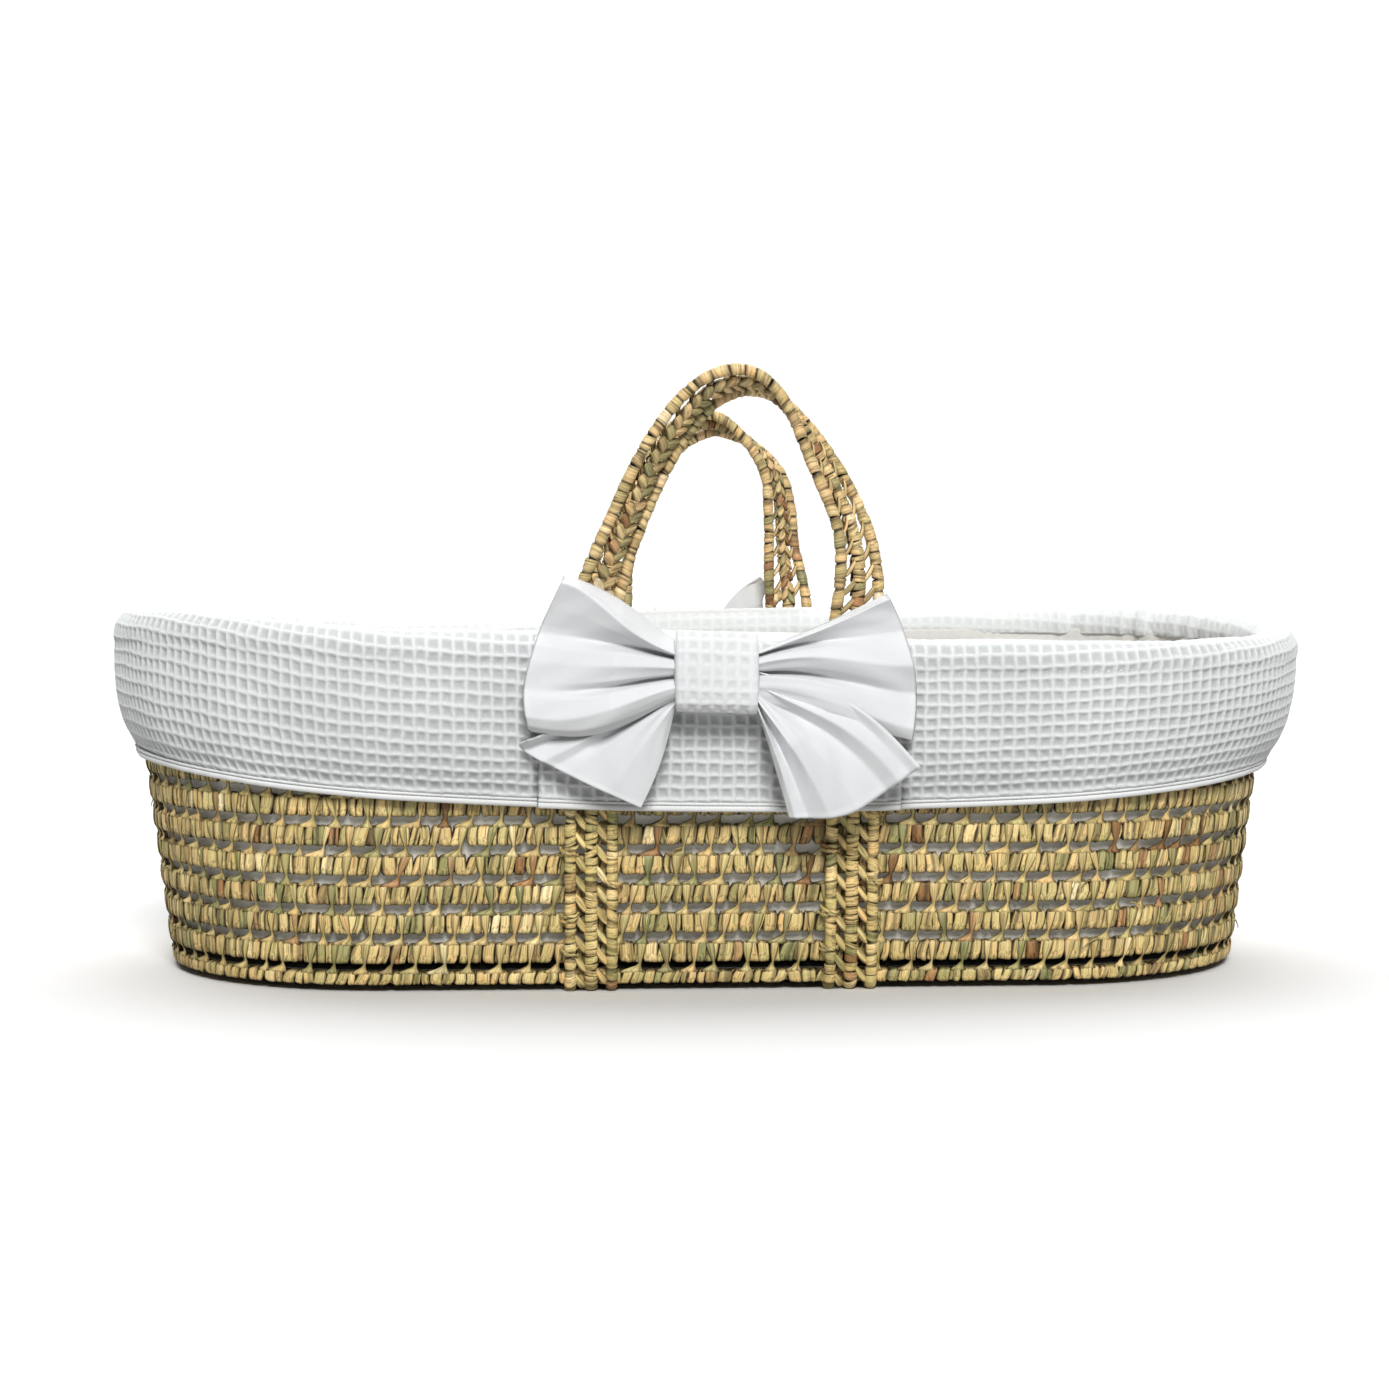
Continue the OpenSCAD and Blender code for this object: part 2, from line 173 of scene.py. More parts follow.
class Rail:
    """A line through space, with a thickness direction and a width direction all along it"""

    def __init__(self, points, out, wide, closed=False):
        steps = np.linalg.norm(np.diff(points, axis=0), axis=1)
        self.s = np.concatenate([[0], np.cumsum(steps)])
        self.length = self.s[-1]
        self.points = points
        self.out = out
        self.wide = wide
        self.closed = closed

    def at(self, s):
        """Point, thickness direction and width direction at arc length s"""
        if self.closed:
            s = np.mod(s, self.length)
        return [
            np.stack([np.interp(s, self.s, column) for column in part.T], -1)
            for part in (self.points, self.out, self.wide)
        ]

    def beside(self, wide):
        """The same line moved sideways"""
        return Rail(self.points + wide * self.wide, self.out, self.wide, self.closed)

    def turns_right(self):
        """True if travel, width and thickness directions are right-handed"""
        travel = self.points[1] - self.points[0]
        return np.dot(np.cross(travel, self.wide[0]), self.out[0]) > 0


# The wall's shape, from the frame -----------------------------------------------------

COURSES = sorted(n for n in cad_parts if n.startswith("wall_course_"))
course_low = np.array([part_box(n)[0].z for n in COURSES])
course_high = np.array([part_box(n)[1].z for n in COURSES])
course_reach = np.array([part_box(n)[1].y for n in COURSES])
half_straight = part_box(COURSES[1])[1].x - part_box(COURSES[1])[1].y
SOFT_EDGE = 2.4 * MM
WALL_THICK = 7 * MM
wall_lean = (course_reach[-1] - course_reach[1]) / (course_high[-1] - course_high[1])
upright = 1 / math.hypot(1, wall_lean)


def wall_radius(z):
    """Radius of the wall's outer face at height z, from the middle of a round end"""
    return course_reach[1] + wall_lean * (z - course_high[1] + SOFT_EDGE)


def oval(s, radius):
    """X of the centre and outward direction at arc length s, from the middle of the front"""
    h = half_straight
    arc = math.pi * radius
    corners = np.cumsum([0, h, arc, 2 * h, arc, h])
    s = np.mod(s, corners[-1])
    centre = np.interp(s, corners, [0, h, h, -h, -h, 0])
    angle = np.interp(s, corners, [0, 0, math.pi, math.pi, TURN, TURN])
    return centre, np.sin(angle), -np.cos(angle)


def oval_length(radius):
    """The way round the oval whose round ends have this radius"""
    return 4 * half_straight + TURN * radius


def on_oval(place, r, z):
    """Points at radius r and height z, where place is what oval gives"""
    centre, nx, ny = place
    return np.stack([centre + r * nx, r * ny, z + 0 * nx], -1)


def oval_rail(radius, z, lean):
    """Rail round the oval whose thickness direction points outwards and width direction up"""
    s = np.linspace(0, oval_length(radius), 721)
    centre, nx, ny = oval(s, radius)
    centre[-1] = centre[0]
    points = np.stack([centre + radius * nx, radius * ny, np.full_like(s, z)], -1)
    tilt = 1 / math.hypot(1, lean)
    out = np.stack([nx * tilt, ny * tilt, np.full_like(s, -lean * tilt)], -1)
    up = np.stack([nx * lean * tilt, ny * lean * tilt, np.full_like(s, tilt)], -1)
    return Rail(points, out, up, closed=True)


# Palm leaf ---------------------------------------------------------------------------

# One strip's cross-section: place across it, how far it stands out and how much painted shade darkens it
# there, most in the grooves where strips meet
STRIP_ACROSS = np.array([-0.05, 0.0, 0.06, 0.13, 0.34, 0.62, 0.86, 0.94, 1.0])
STRIP_RISE = np.array([-2.0, -1.7, -0.5, 0.0, 0.25, 0.35, 0.3, 0.05, -1.3]) * MM
STRIP_SHADE = np.array([1, 1, 0.75, 0.12, 0, 0, 0.04, 0.4, 1])


def wrapped(rail, half_thick, half_wide, rng, strip, start=0.0, end=None, corner=1.0,
            around=14, lean=0.0, bend=0.0, pleat=0.14, relief=1.0, tint=0.5, spread=0.16, shade_share=1.0,
            rim_shade=0.0):
    """Leaf strips about strip wide, wound round a rail side by side, each lapping the next. corner
    below 1 squares the section, lean slants the strips, bend (mm) curves them, pleat (mm) creases
    them, relief is how much they stand out, tint and spread set their colours, and the last two
    arguments scale the painted shade in the grooves where they meet and along the section's two
    sides."""
    end = rail.length if end is None else end
    count = max(2, round((end - start) / strip))
    width = rng.uniform(0.6, 1.4, count)
    width *= (end - start) / width.sum()
    begin = start + np.cumsum(width) - width
    rise = STRIP_RISE * relief + rng.normal(0, pleat * MM, (count, len(STRIP_ACROSS)))
    rise = rise + rng.normal(0, 2.2 * pleat * MM, (count, 1)) * (2 * STRIP_ACROSS - 1)
    # Painted shade in the grooves where the strips meet, deeper on some strips than on others
    shade = STRIP_SHADE * rng.uniform(0.65, 1.2, (count, 1))
    # Some strips get creases, with painted shade along each crease
    for _ in range(2):
        creased = np.nonzero(rng.random(count) < 0.4)[0]
        place = rng.integers(2, 7, len(creased))
        rise[creased, place] -= 0.45 * MM
        shade[creased, place] += 0.55
    theta = np.linspace(0, TURN, around, endpoint=False)
    if not rail.turns_right():
        theta = -theta
    c, s = np.cos(theta), np.sin(theta)
    thick = half_thick * np.sign(c) * np.abs(c) ** corner
    wide = half_wide * np.sign(s) * np.abs(s) ** corner
    face = np.stack([np.sign(c) * np.abs(c) ** (2 - corner) / half_thick,
                     np.sign(s) * np.abs(s) ** (2 - corner) / half_wide])
    face /= np.linalg.norm(face, axis=0)
    slant = rng.normal(lean, 0.7 * MM, count)
    bow = rng.normal(0, bend * MM, count)
    along = (begin[:, None, None] + STRIP_ACROSS[None, :, None] * width[:, None, None]
             + slant[:, None, None] * wide / half_wide + bow[:, None, None] * (wide / half_wide) ** 2)
    point, out, across = rail.at(along)
    points = (point + out * (thick + rise[:, :, None] * face[0])[..., None]
              + across * (wide + rise[:, :, None] * face[1])[..., None])
    shape = along.shape
    colour = tint + rng.normal(0, spread, count) + ripple(begin, rng, (0.31, 0.13), 0.18)
    colour = np.where(rng.random(count) < 0.05, rng.uniform(0, 0.3, count), colour)
    grain = np.stack([
        np.broadcast_to(STRIP_ACROSS[None, :, None] * width[:, None, None], shape),
        np.broadcast_to(theta * (half_thick + half_wide) / 2, shape),
        np.broadcast_to(rng.uniform(0, 9, count)[:, None, None], shape),
    ], -1)
    # The edge value is painted shade: in the grooves and creases, and along the section's two sides
    return Patch(points, round_cols=True, tint=np.clip(colour, 0.02, 0.98)[:, None, None],
                 edge=np.clip(shade[:, :, None] * shade_share + rim_shade * np.abs(s) ** 3, 0, 1), grain=grain)


def flat_leaves(points, rng, tint=0.5, spread=0.2, dark_sides=0.8):
    """A batch of leaf pieces, rows along the leaf and columns across it"""
    count, rows, cols = points.shape[:3]
    across = np.linspace(-1, 1, cols)
    # Painted shade along the leaf's two sides
    edge = dark_sides * np.abs(across) ** 3
    grain = np.zeros((count, rows, cols, 3))
    grain[..., 0] = across * 3 * MM
    grain[..., 1] = np.linspace(0, 16 * MM, rows)[:, None]
    grain[..., 2] = rng.uniform(0, 9, count)[:, None, None]
    colour = np.clip(tint + rng.normal(0, spread, count), 0.02, 0.98)
    return Patch(points, tint=colour[:, None, None], edge=edge, grain=grain)


TIE_PITCH = 18.5 * MM
# Each row of a tie (mm): height above the upper course's low edge or the lower course's high
# edge, left edge, right edge and how far it stands out of the wall
TIE_UPPER = [(13.6, -3.2, 2.8, -0.9), (12, -3.4, 2.9, 0.3), (7.5, -3.2, 2.5, 0.7),
             (4.2, -2.4, 1.8, 0.8), (1.2, -1.5, 1.1, 0.6), (-0.6, -1.2, 0.8, -0.2)]
TIE_LOWER = [(3.6, -2.9, 0.9, -1.0), (2.0, -7.0, 1.4, -1.0), (0.7, -11.8, 2.2, -0.4),
             (-0.7, -13.0, 3.2, 0.2), (-2.0, -11.5, 3.6, -1.0)]


def tie_row(gap, rng):
    """The leaf ties that hold course number gap to the next one up"""
    low = course_high[gap]
    high = course_low[gap + 1]
    rows = np.array([(high / MM + r[0], *r[1:]) for r in TIE_UPPER]
                    + [(low / MM + r[0], *r[1:]) for r in TIE_LOWER]) * MM
    z, left, right, out = rows.T
    cols = np.linspace(0, 1, 7)
    radius = wall_radius(low)
    count = round(oval_length(radius) / TIE_PITCH)
    place = (np.arange(count) + 0.41 * gap) * oval_length(radius) / count
    place = place + rng.normal(0, 2.0 * MM, count)
    foot_reach = rng.uniform(0.4, 1.15, (count, 1))
    stem_reach = rng.uniform(0.65, 1.25, (count, 1))
    left = (left * np.where(left < -4 * MM, foot_reach, stem_reach))[:, :, None]
    right = (right * rng.uniform(0.7, 1.3, (count, 1)))[:, :, None]
    lean = rng.normal(0.15, 0.25, (count, 1)) * (z - low) / (high - low) * 3 * MM
    s = place[:, None, None] + left + (right - left) * cols + lean[:, :, None]
    fold = rng.uniform(0, TURN, count)[:, None, None]
    depth = out[None, :, None] + 0.38 * MM * np.cos(TURN * 2.6 * cols + fold)
    depth = depth + rng.normal(0, 0.12 * MM, s.shape)
    height = z[None, :, None] + rng.normal(0, 0.15 * MM, s.shape)
    points = on_oval(oval(s, radius), wall_radius(height) + depth, height)
    return flat_leaves(points, rng, tint=0.45)


STRAY_ENDS = 26
WALL_MIDDLE_RADIUS = 170 * MM


def stray_ends(rng):
    """Loose leaf ends that stick out of the wall"""
    count = STRAY_ENDS
    t = np.linspace(0, 1, 7)[None, :, None]
    across = np.linspace(-1, 1, 3)[None, None, :]
    s = rng.uniform(0, oval_length(WALL_MIDDLE_RADIUS), count)[:, None, None]
    z = rng.choice(course_high[1:6], count)[:, None, None] + rng.normal(0, 2 * MM, (count, 1, 1))
    size = rng.uniform(7, 15, (count, 1, 1)) * MM
    way = rng.choice([-1, 1], count)[:, None, None] * rng.uniform(0.4, 1, (count, 1, 1))
    out = rng.uniform(0.15, 0.5, (count, 1, 1))
    s = s + size * t * way + 0 * across
    height = z - size * 0.5 * t ** 2 + across * 0.8 * MM * (1 - 0.8 * t)
    r = wall_radius(height) + 0.5 * MM + size * out * t
    return flat_leaves(on_oval(oval(s, WALL_MIDDLE_RADIUS), r, height), rng, tint=0.6)


WALL_STRIP = 7.8 * MM


def make_wall(palm, ties):
    """The wall's courses, each a coil wrapped in leaf strips, and the ties between them"""
    for number, node in enumerate(COURSES):
        rng = np.random.default_rng(100 + number)
        middle = (course_low[number] + course_high[number]) / 2
        half_wide = (course_high[number] - course_low[number]) / 2 / upright
        rail = oval_rail(wall_radius(middle) - WALL_THICK / 2, middle, wall_lean)
        if node == COURSES[-1]:
            rail.points[:, 2] += np.minimum(saddle(*rail.points[:, :2].T), 0)
        # The courses get painted shade along their top and bottom sides
        winding = wrapped(rail, WALL_THICK / 2, half_wide, rng, WALL_STRIP, corner=0.5, around=16,
                          lean=0.8 * MM, bend=0.7, tint=0.52, rim_shade=0.6)
        piece("wrapped_" + node, [winding], palm, replaces=[node])
    rng = np.random.default_rng(120)
    rows = [tie_row(gap, rng) for gap in range(len(COURSES) - 1)]
    piece("leaf_ties", rows + [stray_ends(rng)], ties, replaces=["course_ties"],
          thickness=0.4 * MM)


def make_base(palm):
    """Flat coils inside one another, with ribs of leaf that pass over and under them"""
    rng = np.random.default_rng(130)
    low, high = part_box("base_panel")
    coil_wide = 13 * MM
    coil_pitch = 19.2 * MM
    rib_pitch = 25 * MM
    rib_wide = 6.4 * MM
    middle = (low.z + high.z) / 2
    patches = []
    radius = high.y
    while radius > coil_wide:
        rail = oval_rail(radius - coil_wide / 2, middle, 0.0)
        flat = Rail(rail.points, -rail.wide, rail.out, closed=True)
        patches.append(wrapped(flat, (high.z - low.z) / 2, coil_wide / 2, rng, 9 * MM, corner=0.6,
                               around=10))
        radius -= coil_pitch
    ribs = []
    for number in range(-12, 13):
        x = number * rib_pitch
        past_straight = max(abs(x) - half_straight, 0)
        reach = math.sqrt(high.y ** 2 - past_straight ** 2) - coil_wide / 2
        y = np.linspace(-reach, reach, 40)
        across = np.linspace(-rib_wide / 2, rib_wide / 2, 5)
        z = middle - 1.6 * MM + 2.6 * MM * np.cos(TURN * (y[:, None] + 0 * across) / coil_pitch)
        ribs.append(np.stack([x + across + 0 * y[:, None], y[:, None] + 0 * across, z], -1))
    patches.append(flat_leaves(np.array(ribs), rng, tint=0.45))
    piece("coiled_base", patches, palm, replaces=["base_panel"])


# Straps ------------------------------------------------------------------------------

CORD_SPACING = 14 * MM
CORD_HALF_WIDE = 4.5 * MM
CORD_HALF_THICK = 3.8 * MM
LINK_PITCH = 14.2 * MM
PAD_PITCH = 9.2 * MM
WALL_STRAPS = ["wall_strap_" + place for place in ("front_left", "front_right", "rear_left", "rear_right")]
# A leaf loop's path over a strap's outer cord: distance from the strap's middle and height (mm)
LOOP_ROUTE = [(21, -5.5), (20, 0.2), (17.8, 3.8), (14, 5.0), (10.5, 3.6), (8.5, -1)]
# A wall strap's lowest part, in distance from the basket's middle and height (mm)
STRAP_FOOT = [(140, 2.6), (150, 2.6), (159, 3.2), (163.4, 6.4), (165.3, 12)]
STRAP_STAND_OFF = 4.6 * MM
strap_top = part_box("wall_strap_front_left")[1].z


def cord(rail, place, rng, start=0.0, end=None, half_thick=CORD_HALF_THICK):
    """One of a strap's three wrapped cords, at place -1, 0 or 1 across it"""
    tight = place == 0
    line = rail.beside(place * CORD_SPACING)
    # A cord's strips get a little less painted shade in their grooves than the wall's
    return wrapped(line, half_thick, CORD_HALF_WIDE if tight else CORD_HALF_WIDE * 0.88, rng,
                   5.4 * MM if tight else 9.5 * MM, start, end, around=12,
                   pleat=0.15 if tight else 0.1, relief=0.45 if tight else 0.3,
                   tint=0.45 if tight else 0.56, shade_share=0.85)


def strap_links(rail, start, end, rng, slope, out=0.6 * MM, size=1.0):
    """Slanting leaves across the two columns of holes between a strap's cords"""
    count = int((end - start) / LINK_PITCH)
    t = np.linspace(0, 1, 8)[None, :, None]
    across = np.linspace(-1, 1, 6)[None, None, :]
    patches = []
    for side in (-1, 1):
        place = start + (np.arange(count) + 0.3 + 0.2 * side) * LINK_PITCH
        place = (place + rng.normal(0, 0.5 * MM, count))[:, None, None]
        inner = CORD_HALF_WIDE - 1.8 * MM
        outer = CORD_SPACING - CORD_HALF_WIDE + 1.8 * MM
        reach = inner + (outer - inner) * t if side > 0 else outer + (inner - outer) * t
        half = (1.0 * MM + 1.4 * MM * np.sin(math.pi * t)) * size
        s = place + slope * (0.5 - t) * 11 * MM + across * half
        wide = side * reach + 0 * s + across * 0.9 * MM
        fold = rng.uniform(0, TURN, (count, 1, 1))
        depth = out + 1.1 * MM * np.sin(math.pi * t) + 0.45 * MM * np.cos(4.4 * across + fold) + 0 * s
        point, face, width = rail.at(s)
        patches.append(flat_leaves(point + face * depth[..., None] + width * wide[..., None], rng,
                                   tint=0.62, spread=0.15))
    return patches


def plaited_pads(rail, start, end, rng, side):
    """Two slanting rows of lapped leaf pads over the middle cord, on one face of the strap"""
    count = int((end - start) / PAD_PITCH)
    t = np.linspace(-1, 1, 8)[None, :, None]
    across = np.linspace(-1, 1, 7)[None, None, :]
    patches = []
    for half in (-1, 1):
        place = (start + (np.arange(count) + 0.5 + 0.25 * half) * PAD_PITCH)[:, None, None]
        place = place + rng.normal(0, 0.4 * MM, (count, 1, 1))
        slope = half * 0.75 + rng.normal(0, 0.12, (count, 1, 1))
        reach = 0.92 - 0.3 * smooth_step(0.5, 0.7, place / rail.length)
        wide = (half * 3.5 * MM + t * 4.7 * MM) * reach + 0 * across
        s = place + slope * t * 3.8 * MM + across * 4.9 * MM * np.sqrt(1 - 0.7 * t ** 2)
        dome = np.sqrt(np.clip(1 - across ** 4, 0, 1)) * np.sqrt(np.clip(1 - t ** 2, 0, 1)) ** 0.6
        tilt = 0.9 * MM * across
        fold = rng.uniform(0, TURN, (count, 1, 1))
        depth = 2.4 * MM + 2.4 * MM * dome + tilt + 0.3 * MM * np.cos(5 * across + fold) * dome
        point, face, width = rail.at(s)
        points = point + side * face * depth[..., None] + width * (wide + 0 * s)[..., None]
        # The pads get deeper painted shade along their sides
        patches.append(flat_leaves(points, rng, tint=0.42, spread=0.2, dark_sides=1.0))
    return patches


def edge_loops(rail, places, rng):
    """Leaf strands looped over a strap's outer cords, holding it to the wall"""
    patches = []
    for s in places:
        side = rng.choice([-1, 1])
        for strand in range(2):
            shift = strand * 2.0 * MM + rng.normal(0, 0.5 * MM)
            climb = rng.uniform(-2.5, 2.5) * MM
            route = smooth_line(np.array(LOOP_ROUTE) * MM, 22)
            along = s + shift + climb * np.linspace(-1, 1, 22)
            point, out, wide = rail.at(along)
            points = point + out * route[:, 1:] + wide * side * route[:, :1]
            travel = np.gradient(points, axis=0)
            face = out * 0.6 + wide * side * 0.4
            sideways = np.cross(travel, face)
            sideways /= np.linalg.norm(sideways, axis=1)[:, None]
            face = np.cross(sideways, travel)
            face /= np.linalg.norm(face, axis=1)[:, None]
            strand_rail = Rail(points, face, sideways)
            # The strands get less painted shade in their grooves
            patches.append(wrapped(strand_rail, 0.8 * MM, 1.3 * MM, rng, 12 * MM, around=7, pleat=0.03,
                                   lean=2 * MM, relief=0.2, tint=0.55, spread=0.1, shade_share=0.6))
    return patches


def wall_strap_rail(x, side):
    """Up the wall at x from under the base, on the front (side -1) or the rear (side 1)"""
    heights = [*np.arange(22 * MM, strap_top - 8 * MM, 24 * MM), strap_top]
    foot = [(y * MM, z * MM) for y, z in STRAP_FOOT]
    climb = [(wall_radius(z) + STRAP_STAND_OFF, z) for z in heights]
    line = smooth_line(foot + climb, 240)
    points = np.stack([np.full(len(line), x), side * line[:, 0], line[:, 1]], -1)
    wide = np.tile([1.0, 0, 0], (len(line), 1))
    travel = np.gradient(points, axis=0)
    out = np.cross(wide, travel) * -side
    out /= np.linalg.norm(out, axis=1)[:, None]
    return Rail(points, out, wide)


def make_straps(palm, ties):
    """The straps up the wall, the loops that hold them, and the straps under the base"""
    loops = []
    middles = {}
    for seed, node in enumerate(WALL_STRAPS):
        rng = np.random.default_rng(140 + seed)
        low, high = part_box(node)
        x = (low.x + high.x) / 2
        middles[node] = x
        side = 1 if low.y > 0 else -1
        rail = wall_strap_rail(x, side)
        patches = [cord(rail, place, rng) for place in (-1, 0, 1)]
        patches += strap_links(rail, 22 * MM, rail.length - 8 * MM, rng, slope=-side, size=1.3)
        piece("wound_" + node, patches, palm, replaces=[node])
        places = np.arange(48, 250, 23) * MM
        loops += edge_loops(rail, places + rng.normal(0, 2 * MM, len(places)), rng)
    piece("strap_loops", loops, ties, replaces=["strap_lashings"])
    for seed, side_name in enumerate(("left", "right")):
        rng = np.random.default_rng(150 + seed)
        ends = [middles["wall_strap_front_" + side_name], middles["wall_strap_rear_" + side_name]]
        y = np.linspace(-146 * MM, 146 * MM, 60)
        x = np.interp(y, [-169 * MM, 169 * MM], ends)
        points = np.stack([x, y, np.full_like(y, 2.6 * MM)], -1)
        rail = Rail(points, np.tile([0, 0, -1.0], (len(y), 1)), np.tile([1.0, 0, 0], (len(y), 1)))
        patches = [cord(rail, place, rng, half_thick=2.3 * MM) for place in (-1, 0, 1)]
        patches += strap_links(rail, 6 * MM, rail.length - 6 * MM, rng, slope=1, out=0)
        node = "under_strap_" + side_name
        piece("wound_" + node, patches, palm, replaces=[node])


# Handles -----------------------------------------------------------------------------

# Middle lines in X and Z (mm) from the left foot to the right one, and the strap's turn (degrees)
FRONT_LINE = [(-86, 249.6, 0), (-79, 275, 22), (-65, 313, 40), (-40, 366, 45), (-12, 401, 50),
              (16, 411, 62), (42, 397, 92), (66, 360, 122), (86, 318, 136), (92, 284, 156),
              (90, 249.6, 180)]
REAR_LINE = [(-63, 249.6, 0), (-61, 277, 22), (-54, 308, 40), (-37, 347, 45), (-13, 377, 50),
             (16, 389, 62), (43, 376, 92), (64, 351, 118), (70, 322, 134), (72, 290, 142),
             (77, 249.6, 180)]
FOOT_Z = 243.2


def handle_rail(line, y):
    """The strap's middle line with its turning width and thickness directions"""
    first, last = line[0], line[-1]
    route = [(first[0] - 1, FOOT_Z, first[2])] + line + [(last[0] - 1, FOOT_Z, last[2])]
    table = smooth_line(route, 600)
    points = np.stack([table[:, 0] * MM, np.full(len(table), y), table[:, 1] * MM], -1)
    travel = np.gradient(points, axis=0)
    travel /= np.linalg.norm(travel, axis=1)[:, None]
    angle = np.radians(table[:, 2])[:, None]
    inward = np.stack([travel[:, 2], np.zeros(len(table)), -travel[:, 0]], -1)
    wide = np.cos(angle) * inward + np.sin(angle) * np.array([0, 1.0, 0])
    return Rail(points, np.cross(travel, wide), wide)


def make_handle(name, line, seed, palm, pads_side):
    """A carrying handle: three cords wound with leaf along its line, pads over the middle one and leaf
    links between them
    """
    rng = np.random.default_rng(seed)
    low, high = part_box(name + "_knuckles")
    y = (low.y + high.y) / 2
    rail = handle_rail(line, y)
    pieces = []
    for number, place in enumerate((-1, 0, 1)):
        node = "%s_cord_%d" % (name, number + 1)
        nodes = [node]
        patches = [cord(rail, place, rng)]
        if place == 0:
            patches += plaited_pads(rail, 3 * MM, rail.length - 3 * MM, rng, pads_side)
            nodes.append(name + "_knuckles")
        pieces.append(piece("wound_" + node, patches, palm, body=None, replaces=nodes))
    patches = strap_links(rail, 2 * MM, rail.length - 2 * MM, rng, slope=1, size=0.75)
    node = name + "_lattice"
    pieces.append(piece("leaf_" + node, patches, palm, body=None, replaces=[node],
                        thickness=0.6 * MM))
    for made in pieces:
        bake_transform(made)


# Dressing ----------------------------------------------------------------------------

# The edge value at which the painted shade makes cloth black
BLACK_EDGE = 3.5
WAFFLE_PITCH = 8.5 * MM
WAFFLE_STEP = WAFFLE_PITCH / 7
WAFFLE_DEPTH = 2.1 * MM
roll_low, roll_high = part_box("rim_bumper")
ROLL_RADIUS = 15.5 * MM
roll_z = roll_high.z - ROLL_RADIUS
roll_centre = roll_high.y - ROLL_RADIUS
skirt_top = roll_low.z
hem_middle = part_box("flap_hem_front")[0].z
flap_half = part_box("flap_front")[1].x
HEM_SWEEP = 3900 * MM
HEM_WIDE = 6 * MM
DRESSING_ROWS = 110
# Side profiles of the cloth below the roll, in radius and height (mm)
SKIRT_PROFILE = [(204.5, 222), (204, 205), (202.2, 185), (198.5, 165), (193, 148), (186.5, 135),
                 (183.2, 124)]
FLAP_PROFILE = [(204.9, 222), (203.4, 205), (200.4, 190), (196.5, 165), (193.5, 145), (190.2, 124)]
SKIRT_FACE = smooth_line(np.array(SKIRT_PROFILE) * MM, 80)
FLAP_FACE = smooth_line(np.array(FLAP_PROFILE) * MM, 80)
# How far up over the roll the skirts and the flaps reach, as angles about the roll's middle
SKIRT_OVER = math.radians(80)
FLAP_OVER = math.radians(52)
low_angle = -math.asin((roll_z - skirt_top) / ROLL_RADIUS)


def waffle(s, d):
    """The waffle weave: 1 on the raised threads round its square cells and 0 in the cells"""
    drift_s = 0.4 * MM * np.sin(TURN * (s / 0.034 + d / 0.051)) + 0.25 * MM * np.sin(TURN * d / 0.013)
    drift_d = 0.4 * MM * np.sin(TURN * (s / 0.067 - d / 0.037)) + 0.25 * MM * np.sin(TURN * s / 0.015)
    across = np.abs(np.cos(math.pi * (s + drift_s) / WAFFLE_PITCH))
    along = np.abs(np.cos(math.pi * (d + drift_d) / WAFFLE_PITCH))
    return np.maximum(across, along) ** 5.5


def saddle(x, y):
    """How far the soft rim rides up or down round the basket"""
    u = x / roll_high.x
    v = y / roll_high.y
    return 5.6 * MM * 2 * u * v / (u * u + v * v + 0.02) - 0.8 * MM * np.abs(u)


def settled(points):
    """The points moved as the dressing has settled: its left end stands higher and further in"""
    share = smooth_step(0.2, 0.4, -points[..., :1]) * smooth_step(0.13, 0.24, points[..., 2:])
    return points + share * np.array([6.5, 0, 9.5]) * MM


def hem_height(x):
    """The hem sweeps up towards both ends of the basket, and more to the left than the right"""
    return hem_middle + HEM_SWEEP - np.sqrt(HEM_SWEEP ** 2 - x ** 2) - 0.011 * x


def cloth_lengths(x, face, over):
    """How far the dressing hangs below the roll and how far it lies up over it"""
    hung = (skirt_top - hem_height(x)) / (skirt_top - face[-1, 1])
    steps = np.linalg.norm(np.diff(face, axis=0), axis=1)
    return hung * steps.sum(), (over - low_angle) * ROLL_RADIUS


def cloth_at(x, to_hem, face):
    """Radius, height and angle about the roll's middle of the dressing, to_hem from its hem"""
    steps = np.concatenate([[0], np.cumsum(np.linalg.norm(np.diff(face, axis=0), axis=1))])
    stretch = (skirt_top - hem_height(x)) / (skirt_top - face[-1, 1])
    lower = steps[-1] * stretch
    along = (lower - to_hem) / stretch
    angle = np.maximum(low_angle + (to_hem - lower) / ROLL_RADIUS, low_angle)
    hung = to_hem < lower
    radius = np.where(hung, np.interp(along, steps, face[:, 0]), roll_centre + ROLL_RADIUS * np.cos(angle))
    z = np.where(hung, skirt_top - (skirt_top - np.interp(along, steps, face[:, 1])) * stretch,
                 roll_z + ROLL_RADIUS * np.sin(angle))
    return radius, z, angle


def oval_or_flat(s, ref, plane):
    """What oval gives, or the same for the flat plane of the front flap"""
    return (s, np.zeros_like(s), -np.ones_like(s)) if plane else oval(s, ref)


